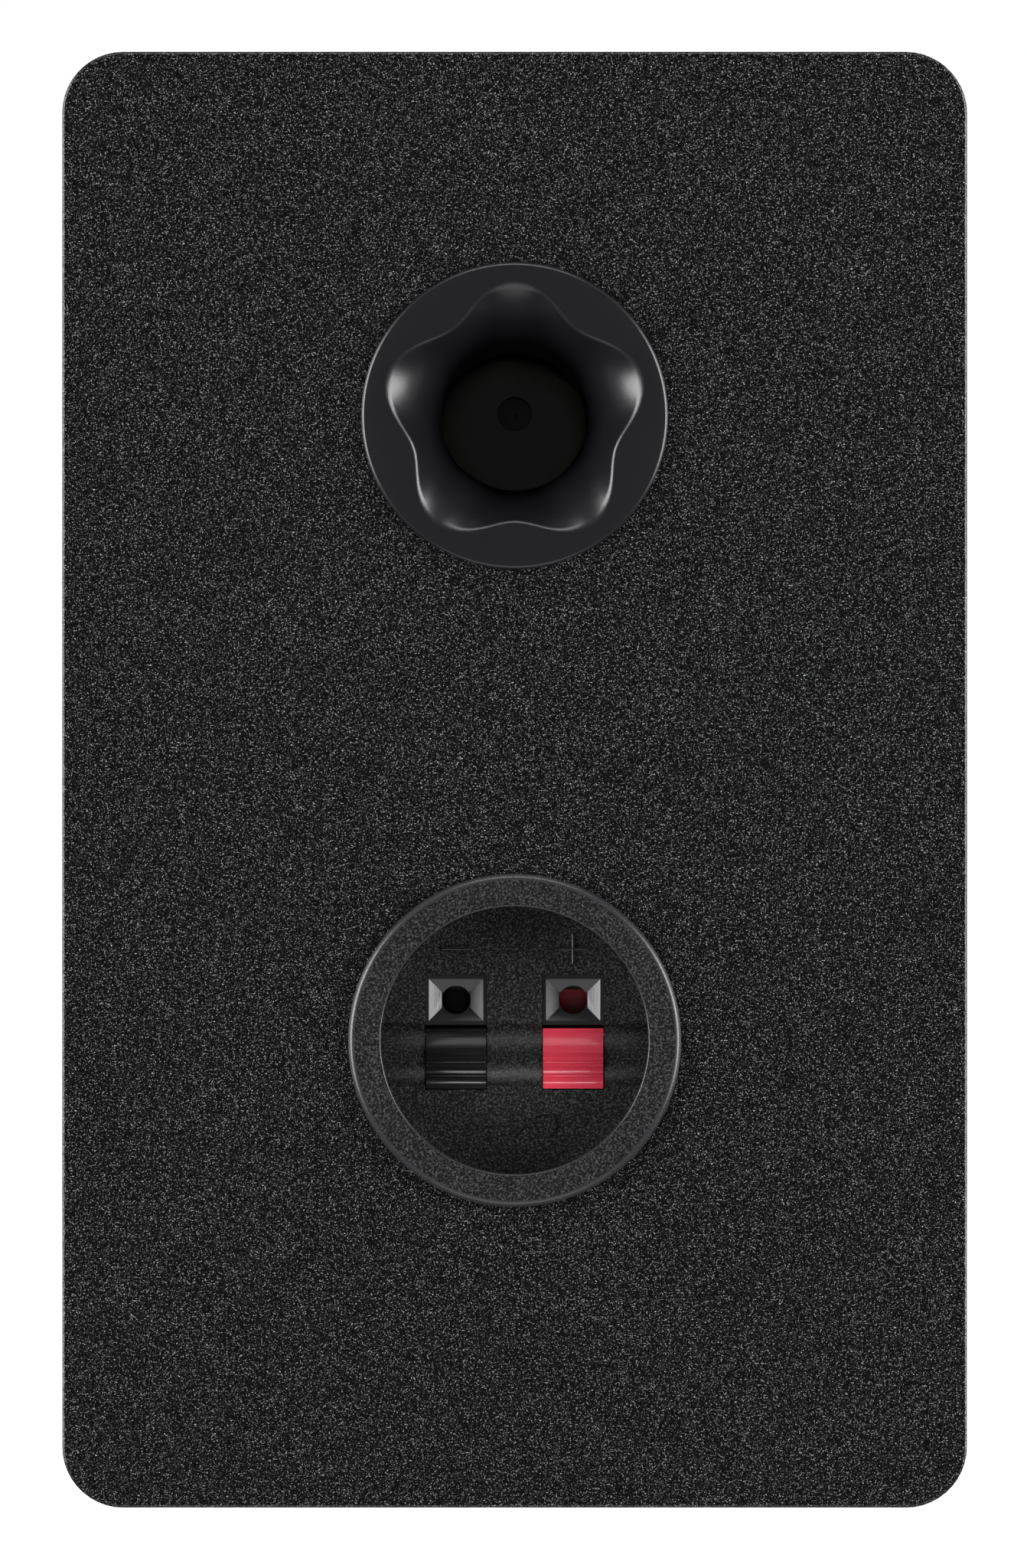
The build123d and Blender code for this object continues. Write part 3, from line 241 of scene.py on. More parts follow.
# Painted highlight: the grain's lighter specks are sparkle painted into the base colour.
painted_sparkle = add(tree, "ShaderNodeMapRange", {"Value": erosion.outputs["Fac"], "From Min": 0.48,
                                          "From Max": 0.75})
vary_colour(tree, shader, painted_sparkle.outputs["Result"], "#030303", "#4a4a4c")
finish_node(eroded, "terminal_cup", "terminal_block")

# %% Polished black and red plastic with cutter lines
def cutter_lined(name, colour, light, along, roughness=0.16):
    """Polished ABS with fine lines left by the cutter. along is the lines' stretch in X, Y, Z."""
    material, tree, shader = start_material(name, colour, roughness)
    lines = add(tree, "ShaderNodeTexNoise", {"Vector": place_scaled(tree, 0.22, along),
                                             "Scale": 1.0, "Detail": 2.0})
    set_bump(tree, shader, lines.outputs["Fac"], 0.018)
    vary_colour(tree, shader, lines.outputs["Fac"], colour, light)
    return material


guide_black = cutter_lined("polished_black_abs", "#141415", "#202022", (1, 1, 60), 0.3)
lever_black = cutter_lined("polished_black_lever", "#0c0c0d", "#1b1b1c", (80, 1, 1), 0.2)
lever_red = cutter_lined("polished_red_lever", "#b02c3d", "#c43d4e", (80, 1, 1))

# %% Nickel-plated strip
nickel, tree, shader = start_material("nickel_plated_strip", "#b9b4a8", 0.28, Metallic=1.0)
rolling = add(tree, "ShaderNodeTexNoise", {"Vector": place_scaled(tree, 0.1, (1, 1, 40)),
                                           "Scale": 1.0, "Detail": 2.0})
vary_roughness(tree, shader, rolling.outputs["Fac"], 0.2, 0.4)
finish_node(nickel, "negative_contact", "positive_contact", "woofer_terminals",
            "tweeter_terminals")

# %% [markdown]
# ## Finishes of the inner and front parts
# Most of these are out of sight behind the panels and the grille, but each is what it is: a
# powder-coated steel basket, zinc-plated motor plates, a ground ferrite ring, enamelled wire.
# They differ in two colours, a roughness and the size of their grain, so one function makes
# them, with a fine noise in the colour, height and gloss.

# %% Finishes with one fine grain
def grained(name, dark, light, roughness, grain_mm, relief_mm, stretch=(1, 1, 1), **values):
    """A finish whose colour, gloss and height follow one noise, grain_mm from bump to bump."""
    material, tree, shader = start_material(name, dark, roughness, **values)
    grain = add(tree, "ShaderNodeTexNoise", {"Vector": place_scaled(tree, grain_mm, stretch),
                                             "Scale": 1.0, "Detail": 4.0, "Roughness": 0.6})
    set_bump(tree, shader, grain.outputs["Fac"], relief_mm)
    vary_colour(tree, shader, grain.outputs["Fac"], dark, light)
    vary_roughness(tree, shader, grain.outputs["Fac"], roughness - 0.06, roughness + 0.08)
    return material


lacquer = grained("satin_black_lacquer", "#121213", "#1a1a1b", 0.34, 0.9, 0.02)
finish_node(lacquer, "front_baffle")
powder = grained("black_powder_coat", "#141415", "#202021", 0.5, 0.5, 0.05)
finish_node(powder, "woofer_basket")
zinc = grained("zinc_plated_steel", "#9c9c98", "#b4b4ae", 0.34, 0.6, 0.01, Metallic=1.0)
finish_node(zinc, "woofer_top_plate", "woofer_yoke", "tweeter_top_plate")
black_zinc = grained("black_zinc_steel", "#4c4a48", "#605e5b", 0.55, 0.6, 0.01)
finish_node(black_zinc, "tweeter_yoke")
ferrite = grained("ground_ferrite", "#2c2c2e", "#434345", 0.6, 0.4, 0.03)
finish_node(ferrite, "woofer_magnet", "tweeter_magnet")
pulp = grained("pressed_paper_pulp", "#18181a", "#2a2a2c", 0.82, 1.4, 0.14)
finish_node(pulp, "woofer_cone")
cap_paper = grained("coated_paper_cap", "#161618", "#222224", 0.55, 1.0, 0.06)
finish_node(cap_paper, "woofer_dust_cap")
rubber = grained("moulded_butyl_rubber", "#141414", "#1d1d1d", 0.6, 0.6, 0.03)
finish_node(rubber, "woofer_trim_ring", "grille_sockets")
former_foil = grained("aluminium_former_foil", "#b9babc", "#d2d3d5", 0.3, 0.5, 0.01, Metallic=1.0)
finish_node(former_foil, "woofer_former")
black_oxide = grained("black_oxide_steel", "#19191a", "#2b2b2c", 0.38, 0.3, 0.01)
finish_node(black_oxide, "woofer_screws", "tweeter_screws", "crossover_screws")
fine_abs = grained("fine_textured_abs", "#161617", "#222223", 0.42, 0.35, 0.03)
finish_node(fine_abs, "tweeter_faceplate", "grille_pegs")
silk = grained("coated_silk", "#141416", "#242427", 0.5, 0.45, 0.05, Sheen_Weight=0.3)
finish_node(silk, "tweeter_dome")
laminate = grained("phenolic_paper_laminate", "#6b4a22", "#8a6432", 0.5, 1.2, 0.01)
finish_node(laminate, "crossover_board")
nylon = grained("natural_nylon", "#cfcabd", "#e0dccf", 0.5, 0.8, 0.01)
finish_node(nylon, "crossover_standoffs", "crossover_bobbin")
sleeve = grained("blue_shrink_sleeve", "#1b3160", "#243f78", 0.3, 1.5, 0.02)
finish_node(sleeve, "crossover_capacitor")
cement = grained("white_cement", "#c9c6bd", "#e2dfd6", 0.85, 0.5, 0.08)
finish_node(cement, "crossover_resistor")
foam = grained("closed_cell_foam", "#161616", "#262626", 0.95, 0.5, 0.2)
finish_node(foam, "terminal_gasket", "woofer_gasket")
board = grained("black_stained_board", "#1a1816", "#2b2824", 0.8, 0.8, 0.08)
finish_node(board, "grille_frame")
for colour_name, dark, light in (("black", "#131313", "#1e1e1e"), ("red", "#8f1418", "#a8191d")):
    cover = grained(f"{colour_name}_wire_insulation", dark, light, 0.45, 0.7, 0.02)
    pole = "negative" if colour_name == "black" else "positive"
    finish_node(cover, *[f"{pole}_{end}_lead" for end in ("input", "woofer", "tweeter")])

# %% [markdown]
# Windings show their turns: fine rings beside each other. A wave pattern along the coil's axis
# draws them, in relief and in colour: darker in the grooves between turns, a painted shade, and
# lighter on the crests. Each band is about six wires wide, which is coarser than real turns are.

# %% Enamelled copper wire
def wound(name, axis, wire_mm):
    """Copper turns beside each other along X, Y or Z, in bands about six wires wide."""
    material, tree, shader = start_material(name, "#8a4a20", 0.3, Metallic=0.9)
    place = add(tree, "ShaderNodeTexCoord")
    turns = add(tree, "ShaderNodeTexWave", {"Vector": place.outputs["Object"],
                                            "Scale": 1 / (20 * wire_mm * MM)},
                wave_type="BANDS", bands_direction=axis, wave_profile="SIN")
    set_bump(tree, shader, turns.outputs["Fac"], wire_mm / 2)
    # Painted shade: the colour darkens in the grooves between turns and lightens on their crests.
    vary_colour(tree, shader, turns.outputs["Fac"], "#5e2f12", "#b06a34")
    return material


finish_node(wound("copper_turns_voice_coil", "Y", 0.3), "woofer_voice_coil",
            "tweeter_voice_coil")
finish_node(wound("copper_turns_inductor", "Z", 0.6), "crossover_winding")

# %% [markdown]
# ## Pieces: the helpers
# A piece starts as a bmesh, which operators then shape. One helper turns a profile into a ring
# about a driver's axis. Another finishes any bmesh as an object: it merges what the spin left
# double, turns the faces outwards, smooths all but the real edges and hangs it on its body.

# %% Piece helpers
def spin_profile(points, z, steps):
    """A bmesh ring about the Y axis at height z. points are (y, radius), a closed outline."""
    bm = bmesh.new()
    verts = [bm.verts.new((radius, y, z)) for y, radius in points]
    for a, b in zip(verts, verts[1:] + verts[:1]):
        bm.edges.new((a, b))
    bmesh.ops.spin(bm, geom=bm.verts[:] + bm.edges[:], cent=(0, 0, z), axis=(0, 1, 0),
                   angle=math.tau, steps=steps, use_merge=True)
    return bm


def make_object(name, bm, material, sharp_angle=35.0, merge_mm=0.002):
    """An object from a bmesh, with its doubles merged and its faces turned outwards."""
    bmesh.ops.remove_doubles(bm, verts=bm.verts[:], dist=merge_mm * MM)
    bmesh.ops.recalc_face_normals(bm, faces=bm.faces[:])
    mesh = bpy.data.meshes.new(name)
    bm.to_mesh(mesh)
    bm.free()
    mesh.shade_smooth()
    mesh.set_sharp_from_angle(angle=math.radians(sharp_angle))
    mesh.materials.append(material)
    piece = bpy.data.objects.new(name, mesh)
    bpy.context.scene.collection.objects.link(piece)
    return piece


def fit_out(piece, body, slot, *replaced):
    """Hangs a piece on its body and hides the solids it stands for. slot is not used."""
    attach(piece, body)
    if replaced:
        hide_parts(*replaced)
    print(piece.name, len(piece.data.polygons), "faces")


# %% [markdown]
# ## Port mouth
# The mouth of this port is a trumpet pressed into five lobes, which break up the air's whistle.
# Its wall falls in gently at each lobe and steeply between two lobes, and that difference is
# the whole look: wide soft highlights on the lobes, thin bright lines between them. It could
# be carved from a cylinder, but a spun ring keeps the edges round: the profile is spun first,
# and then each ring of the inner wall is pushed out or in by the lobes' wave.

# %% Spin the port mouth and press its lobes
port_low, port_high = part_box("port_flare")
port_z = (port_low.z + port_high.z) / 2
port_face = port_high.y
flange_radius = (port_high.x - port_low.x) / 2
rear_face = rear_high.y
rear_inside = rear_low.y
port_bore, flare_length = 12.0, 26.0
widening, lobe_height, lobes = 7.45, 2.2, 5
fall, fall_swing, lip = 8.3, 2.7, 0.5
wall_tolerance = 0.01


def flare_radius(depth, angle):
    """Radius in mm of the flare's wall, depth mm behind its face; lobes stand out in waves."""
    wave = math.cos(lobes * angle)
    reach = fall - fall_swing * wave
    end = math.exp(-flare_length / reach)
    narrowing = (math.exp(-depth / reach) - end) / (1 - end)
    rounding = min(1.0, max(0.0, 1 - depth / lip))
    return (port_bore + (widening + lobe_height * wave) * narrowing
            + lip * (1 - math.sqrt(1 - rounding**2)))


# Rings crowd towards the mouth, where the wall curves most.
rings, crowding, steps_around = 56, 2.2, 240
depths = [flare_length * (i / rings) ** crowding for i in range(rings + 1)]
body_radius = 23.4
spigot_radius, spigot_length, tube_radius = 15.65, 9.0, 14.05
spigot_shoulder = 2
# The flange's rounded edge, as depth behind the face and distance in from the rim.
flange_edge = ((0.42, 0), (0.28, 0.06), (0.04, 0.42), (0, 0.56))
wall_points = [(port_face - d * MM, flare_radius(d, 0) * MM) for d in depths]
spigot_end = port_face - (flare_length + spigot_length) * MM
outside_points = [
    (port_face - flare_length * MM, tube_radius * MM),
    (spigot_end, tube_radius * MM),
    (spigot_end, spigot_radius * MM),
    (port_face - (flare_length - spigot_shoulder) * MM, spigot_radius * MM),
    (rear_inside, body_radius * MM),
    (rear_face, body_radius * MM),
    (rear_face, flange_radius),
]
outside_points += [(port_face - d * MM, flange_radius - inset * MM) for d, inset in flange_edge]
bm = spin_profile(wall_points + outside_points, port_z, steps_around)
pressed = 0
for v in bm.verts:
    depth = (port_face - v.co.y) / MM
    spun_radius = math.hypot(v.co.x, v.co.z - port_z) / MM
    if abs(spun_radius - flare_radius(depth, 0)) < wall_tolerance:
        angle = math.atan2(v.co.x, v.co.z - port_z)
        radius = flare_radius(depth, angle) * MM
        v.co.x, v.co.z = radius * math.sin(angle), port_z + radius * math.cos(angle)
        pressed += 1
print("lobes pressed into", pressed, "points of the mouth's wall")
port_mouth = make_object("port_mouth", bm, satin, 40)
fit_out(port_mouth, "cabinet", "port_plastic", "port_flare")

# %% [markdown]
# ## Push terminals
# Each lever is a moulded tongue with a hollow pad. Ribs across the lower half of the pad give
# the finger a grip, and below them the pad ends in a plain lip. The outline is drawn once in
# the lever's plane, closed to a face and extruded across its width, and its edges are bevelled
# as a mould would leave them.

# %% Model the levers
cup_low, cup_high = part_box("terminal_cup")
cup_z = (cup_low.z + cup_high.z) / 2
pad_radius, pad_axis_depth, pad_middle = 5.47, 5.08, -2.45
rib_heights, rib_half, rib_rise = (-2.5, -3.7, -4.75, -5.9), 0.26, 0.34
lip_start, lip_bulge = -6.25, 0.3
stub_length, stub_radius = 1.0, 0.9
pivot_depth, pivot_z = 11.2, 1.2
guide_gap, pad_inset = 0.3, 0.3
crown_step, crown_run = 0.35, 0.8
foot_front, foot_back = 8.1, 9.8
web_back, web_height, web_top, arm_thickness = 12.25, 3.0, -1.5, 1.7
pad_steps, lip_steps = 96, 8
moulded_edge = 0.08


def pad_depth(z):
    """Depth in mm of the pad's surface behind the back face, z mm above the cup's centre."""
    hollow = pad_axis_depth + math.sqrt(pad_radius**2 - (z - pad_middle) ** 2)
    for rib in rib_heights:
        hollow -= rib_rise * max(0.0, 1 - ((z - rib) / rib_half) ** 2)
    return hollow


for pole, colour in (("negative", lever_black), ("positive", lever_red)):
    low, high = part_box(f"{pole}_lever")
    top = (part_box(f"{pole}_wire_guide")[0].z - cup_z) / MM - guide_gap
    foot = (low.z - cup_z) / MM
    arm_back = (rear_face - low.y) / MM
    arm_front = arm_back - arm_thickness
    arm_top = (high.z - cup_z) / MM
    pad_zs = [top - pad_inset + (lip_start - top + pad_inset) * i / pad_steps
              for i in range(pad_steps + 1)]
    outline = [(pad_depth(z), z) for z in pad_zs]
    lip_depth = outline[-1][0]
    for i in range(1, lip_steps + 1):
        along = i / lip_steps
        bulge = lip_bulge * math.sin(math.pi * along)
        outline.append((lip_depth + (foot_front - lip_depth) * along - bulge,
                        lip_start + (foot - lip_start) * along))
    outline += [(foot_back, foot), (web_back, pad_middle - web_height), (web_back, web_top),
                (arm_back, web_top), (arm_back, arm_top), (arm_front, arm_top),
                (arm_front, top - crown_step), (pivot_depth + crown_run, top - crown_step),
                (pivot_depth, top)]
    half = (high.x - low.x) / 2 - stub_length * MM
    centre_x = (low.x + high.x) / 2
    bm = bmesh.new()
    verts = [bm.verts.new((centre_x - half, rear_face - d * MM, cup_z + z * MM))
             for d, z in outline]
    face = bm.faces.new(verts)
    moved = bmesh.ops.extrude_face_region(bm, geom=[face])["geom"]
    bmesh.ops.translate(bm, vec=(2 * half, 0, 0),
                        verts=[g for g in moved if isinstance(g, bmesh.types.BMVert)])
    rims = [e for e in bm.edges if abs(e.verts[0].co.x - e.verts[1].co.x) < 1e-7]
    bmesh.ops.bevel(bm, geom=rims, offset=moulded_edge * MM, segments=2, affect="EDGES",
                    profile=0.5, material=-1, clamp_overlap=True)
    for side in (-1, 1):
        spot = Vector((centre_x + side * (half + stub_length / 2 * MM),
                       rear_face - pivot_depth * MM, cup_z + pivot_z * MM))
        bmesh.ops.create_cone(bm, cap_ends=True, segments=24, radius1=stub_radius * MM,
                              radius2=stub_radius * MM, depth=stub_length * MM,
                              matrix=Matrix.Translation(spot) @ Matrix.Rotation(math.pi / 2, 4, "Y"))
    lever = make_object(f"{pole}_finger_lever", bm, colour, 30)
    fit_out(lever, f"{pole}_lever", f"lever_{'black' if pole == 'negative' else 'red'}",
            f"{pole}_lever")

# %% [markdown]
# The wire guides are small square funnels. Their solids are right, but every moulded edge has
# a tiny radius that draws a bright line, so a merged copy of each gets a bevel.

# %% Bevel the wire guides
flat_within, real_edge = math.radians(1.0), math.radians(22)


def with_soft_edges(name, node, width_mm, material):
    """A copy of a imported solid, merged to clean faces, with a small bevel on every real edge."""
    bm = bmesh.new()
    bm.from_mesh(nodes[node].data)
    bmesh.ops.remove_doubles(bm, verts=bm.verts[:], dist=0.002 * MM)
    bmesh.ops.dissolve_limit(bm, angle_limit=flat_within, verts=bm.verts[:], edges=bm.edges[:])
    sharp = [e for e in bm.edges if e.is_manifold and e.calc_face_angle(0) > real_edge]
    bmesh.ops.bevel(bm, geom=sharp, offset=width_mm * MM, segments=1, affect="EDGES",
                    profile=0.5, material=-1, clamp_overlap=True)
    return make_object(name, bm, material, 12)


for pole in ("negative", "positive"):
    funnel = with_soft_edges(f"{pole}_funnel", f"{pole}_wire_guide", 0.06, guide_black)
    fit_out(funnel, "cabinet", "guide_plastic", f"{pole}_wire_guide")

# %% [markdown]
# The cup's outer and inner edges are broken by the mould, and they draw the two bright rings
# that make the cup stand out from the back. The solid has flat chamfers. A rounded bead, spun
# over each chamfer, catches the side lamps over a wider arc.

# %% Round the cup's edges
cup_face = cup_high.y
cup_radius = (cup_high.x - cup_low.x) / 2
edge_radius, rim_radius, recess_radius = 1.05 * MM, 0.25 * MM, 21.9 * MM
arc_steps, bead_steps = 10, 200
# The beads' finish is glossier than the cup's and lighter in colour; the lighter colour is a painted
# highlight on the edges.
edge_highlight_finish = grained("cup_edge_painted_highlight", "#161617", "#303032", 0.27, 0.3, 0.03)


def bead(name, start, side, radius):
    """A quarter-round ring on the cup's face, from radius start outwards or inwards."""
    quarter = [math.pi / 2 * i / arc_steps for i in range(arc_steps + 1)]
    arc = [(cup_face - radius * (1 - math.cos(t)), start + side * radius * math.sin(t))
           for t in quarter]
    bm = spin_profile(arc + [(cup_face - radius, start)], cup_z, bead_steps)
    ring = make_object(name, bm, edge_highlight_finish, 50, merge_mm=0.0005)
    fit_out(ring, "cabinet", "cup_plastic")


bead("cup_outer_edge", cup_radius - edge_radius, 1, edge_radius)
bead("cup_recess_rim", recess_radius + rim_radius, -1, rim_radius)

# %% [markdown]
# The minus and plus signs are raised in the cup's floor. On the solid they are square ridges; a
# rounded bar on each gives the upright of the plus its bright line from the side lamps.

# %% Round the polarity marks
mark_length, mark_radius, mark_height, mark_z = 4.7, 0.26, 0.2, 14.9
cup_floor_depth = 8.0
bm = bmesh.new()
for pole, turn in (("negative", 90), ("positive", 90), ("positive", 0)):
    low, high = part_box(f"{pole}_lever")
    spot = Vector(((low.x + high.x) / 2, rear_face - (cup_floor_depth - mark_height) * MM,
                   cup_z + mark_z * MM))
    bmesh.ops.create_cone(bm, cap_ends=True, segments=20, radius1=mark_radius * MM,
                          radius2=mark_radius * MM, depth=mark_length * MM,
                          matrix=Matrix.Translation(spot)
                          @ Matrix.Rotation(math.radians(turn), 4, "Y"))
marks = make_object("polarity_marks", bm, lever_black, 40, merge_mm=0.0001)
fit_out(marks, "cabinet", "cup_plastic")

# %% [markdown]
# ## Rolled edges
# A driver's moving parts hang on soft rings: a rubber half roll round the woofer's cone, a
# corrugated cloth disc at its neck, a small cloth roll round the tweeter's dome. Each is glued
# to the frame outside and to the cone inside, so it bends between two bodies. Its outline is
# spun like the port's. Then a weight that runs from the outer to the inner glue line, by radius,
# says how far each point follows the cone.

# %% Spin the rolls and the spider
baffle_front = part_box("front_baffle")[0].y
roll_steps = 24
spider_inner, spider_outer, spider_steps = 12.85, 35, 150
wave_height, half_wave, first_crest = 0.9, 1.47, 14.3
waves_end, inner_calm, outer_calm = 29.4, 1.4, 1.6


def rolled_outline(seat, inner, outer, inner_lip, outer_lip, wall, inner_seat):
    """Closed outline, depth and radius in mm, of a half roll with a glued lip on each side."""
    middle_radius, roll = (inner + outer) / 2, (outer - inner) / 2
    front, back = [(seat - wall, outer_lip)], [(seat, outer_lip)]
    for i in range(roll_steps + 1):
        turn = math.pi * i / roll_steps
        drop = (inner_seat - seat) * max(0.0, 2 * i / roll_steps - 1) ** 3
        front.append((seat - wall - roll * math.sin(turn) + drop,
                      middle_radius + roll * math.cos(turn)))
        back.append((seat - (roll - wall) * math.sin(turn) - wall * math.sin(turn) + drop,
                     middle_radius + (roll - wall) * math.cos(turn)))
    front.append((inner_seat - wall, inner_lip))
    back.append((inner_seat, inner_lip))
    return front + back[::-1]


def spider_outline(level, wall):
    """Closed outline, depth and radius in mm, of the spider's rounded waves."""
    span = spider_outer - spider_inner
    front = []
    for i in range(spider_steps + 1):
        radius = spider_inner + span * i / spider_steps
        rise = min(1.0, max(0.0, (radius - spider_inner) / inner_calm))
        calm = min(1.0, max(0.0, (waves_end - radius) / outer_calm))
        wave = wave_height * math.cos(math.pi * (radius - first_crest) / half_wave)
        front.append((level + wave * rise * calm, radius))
    return front + [(depth + wall, radius) for depth, radius in reversed(front)]


def hang_between(piece, z, outer, inner, moving, node):
    """Bends a ring between the cabinet, outside outer mm, and a moving body, inside inner mm."""
    centre = Vector((0, baffle_front, z))
    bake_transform(piece, "cabinet", moving, start=centre + Vector((outer * MM, 0, 0)), end=centre)
    follow = piece.data.attributes["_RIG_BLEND"]
    for vert, weight in zip(piece.data.vertices, follow.data):
        radius = math.hypot(vert.co.x, vert.co.z - z) / MM
        share = min(1.0, max(0.0, (outer - radius) / (outer - inner)))
        weight.value = share * share * (3 - 2 * share)
    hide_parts(node)
    print(piece.name, len(piece.data.polygons), "faces")


def spin_ring(name, outline, z, steps, material):
    """A ring object from an outline in depth and radius, both in mm."""
    bm = spin_profile([(baffle_front + d * MM, r * MM) for d, r in outline], z, steps)
    return make_object(name, bm, material, 60)


woofer_z = sum(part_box("woofer_cone")[i].z for i in (0, 1)) / 2
tweeter_z = sum(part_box("tweeter_dome")[i].z for i in (0, 1)) / 2
tweeter_seat = (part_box("tweeter_surround")[1].y - baffle_front) / MM
woofer_seat = 0.5
roll_rubber = grained("soft_butyl_roll", "#101010", "#1a1a1a", 0.48, 0.8, 0.04)
waxed_cloth = grained("varnished_cotton_cloth", "#8a6a2c", "#a98743", 0.75, 0.35, 0.12)
roll_silk = grained("coated_silk_roll", "#131315", "#222225", 0.5, 0.3, 0.05, Sheen_Weight=0.3)
surround_outline = rolled_outline(seat=woofer_seat, inner=42, outer=48, inner_lip=40,
                                  outer_lip=50.5, wall=0.5, inner_seat=1.25)
surround = spin_ring("rubber_surround", surround_outline, woofer_z, 160, roll_rubber)
hang_between(surround, woofer_z, 48, 42, "woofer_moving_parts",
             "woofer_surround")
spider_level = (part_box("woofer_spider")[0].y - baffle_front) / MM + wave_height
spider = spin_ring("cloth_spider", spider_outline(spider_level, 0.4), woofer_z, 120, waxed_cloth)
hang_between(spider, woofer_z, 29, 13, "woofer_moving_parts", "woofer_spider")
dome_outline = rolled_outline(seat=tweeter_seat, inner=13.1, outer=14.6, inner_lip=12.85,
                              outer_lip=15.5, wall=0.25, inner_seat=tweeter_seat - 0.6)
dome_roll = spin_ring("dome_roll", dome_outline, tweeter_z, 120, roll_silk)
hang_between(dome_roll, tweeter_z, 14.6, 13.1, "tweeter_moving_parts",
             "tweeter_surround")

# %% [markdown]
# ## Grille cloth
# Grille cloth is an open knit that lets sound through. It is cut larger than the frame, pulled
# over its front and glued down round the sides, so the front is flat and the edge is round.
# One rounded outline is extruded back along the sides and filled in front, and a bevel makes
# the cloth's own turn over the frame. The knit follows the cloth: a UV map unrolls the sides
# next to the front, and two crossed waves on it draw the loops.

# %% Knitted cloth
knit, tree, shader = start_material("black_knitted_cloth", "#0e0e0f", 0.9, Sheen_Weight=0.4,
                                    Sheen_Roughness=0.6)
place = add(tree, "ShaderNodeUVMap", uv_map="cloth")
stitch_mm = 1.1
loops = add(tree, "ShaderNodeMapping", {"Vector": place.outputs["UV"],
                                        "Scale": [1 / (stitch_mm * MM)] * 3,
                                        "Rotation": (0, 0, math.radians(45))})
across = add(tree, "ShaderNodeTexWave", {"Vector": loops.outputs["Vector"], "Scale": 0.314,
                                         "Distortion": 0.6, "Detail": 1.0},
             bands_direction="X")
along = add(tree, "ShaderNodeTexWave", {"Vector": loops.outputs["Vector"], "Scale": 0.314,
                                        "Distortion": 0.6, "Detail": 1.0},
            bands_direction="Y")
yarn = add(tree, "ShaderNodeMath", {0: across.outputs["Fac"], 1: along.outputs["Fac"]},
           operation="MAXIMUM")
set_bump(tree, shader, yarn.outputs["Value"], 0.3)
vary_colour(tree, shader, yarn.outputs["Value"], "#030303", "#1d1d1e")

# %% Stretch the cloth over the grille frame
cloth_low, cloth_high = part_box("grille_cloth")
cloth_middle_z = (cloth_low.z + cloth_high.z) / 2
corner, fold_radius = 9.0 * MM, 0.7 * MM
bm = bmesh.new()
bmesh.ops.create_grid(bm, x_segments=1, y_segments=1, size=0.5)
bmesh.ops.rotate(bm, cent=(0, 0, 0), matrix=Matrix.Rotation(math.radians(90), 3, "X"),
                 verts=bm.verts[:])
size = cloth_high - cloth_low
bmesh.ops.scale(bm, vec=(size.x, 1, size.z), verts=bm.verts[:])
bmesh.ops.translate(bm, vec=((cloth_low.x + cloth_high.x) / 2, cloth_low.y, cloth_middle_z),
                    verts=bm.verts[:])
bmesh.ops.bevel(bm, geom=bm.verts[:], offset=corner, segments=12, affect="VERTICES",
                profile=0.5, material=-1)
moved = bmesh.ops.extrude_edge_only(bm, edges=bm.edges[:])["geom"]
bmesh.ops.translate(bm, vec=(0, size.y, 0),
                    verts=[g for g in moved if isinstance(g, bmesh.types.BMVert)])
turn = [e for e in bm.edges if len(e.link_faces) == 2
        and all(abs(v.co.y - cloth_low.y) < 1e-6 for v in e.verts)]
bmesh.ops.bevel(bm, geom=turn, offset=fold_radius, segments=4, affect="EDGES", profile=0.5,
                material=-1)
bmesh.ops.triangulate(bm, faces=[max(bm.faces, key=lambda f: f.calc_area())])
lay = bm.loops.layers.uv.new("cloth")
for face in bm.faces:
    for loop in face.loops:
        x, y, z = loop.vert.co
        edge_x = max(0.0, abs(x) - (size.x / 2 - corner))
        edge_z = max(0.0, abs(z - cloth_middle_z) - (size.z / 2 - corner))
        out = Vector((edge_x * (1 if x > 0 else -1), edge_z * (1 if z > cloth_middle_z else -1)))
        fold = (y - cloth_low.y) * (out.normalized() if out.length > 1e-9 else Vector((0, 0)))
        loop[lay].uv = (x + fold.x, z + fold.y)
cloth = make_object("grille_knit", bm, knit, 45)
wall = cloth.modifiers.new("cloth_thickness", "SOLIDIFY")
wall.thickness = 0.5 * MM
wall.offset = -1.0
fit_out(cloth, "grille", "grille_cloth", "grille_cloth")

# %% [markdown]
# ## Damping wadding
# A blanket of polyester wadding lies against the side walls and the top to soak up standing
# waves. It is cut flat and bent in: a grid is thickened to a slab, its edges are thinned and its
# faces made lumpy with noise while it is flat, and then each point moves to its place along the
# three walls.

# %% Lay the wadding in
wadding_low, wadding_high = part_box("damping_wadding")
thickness = 8.0 * MM
bend = 12.0 * MM
half_width = (wadding_high.x - wadding_low.x) / 2
leg = wadding_high.z - wadding_low.z - bend
roof = 2 * (half_width - bend)
arc = math.pi / 2 * (bend - thickness / 2)
blanket_length = 2 * leg + roof + 2 * arc
blanket_depth = wadding_high.y - wadding_low.y
edge_half, loft, edge_taper = 0.2 * MM, 3.0 * MM, 3.6 * MM
lump_height, lump_size, small_lump_size = 0.45 * MM, 11 * MM, 4 * MM
face_shift, cut_back = 0.02, 0.995


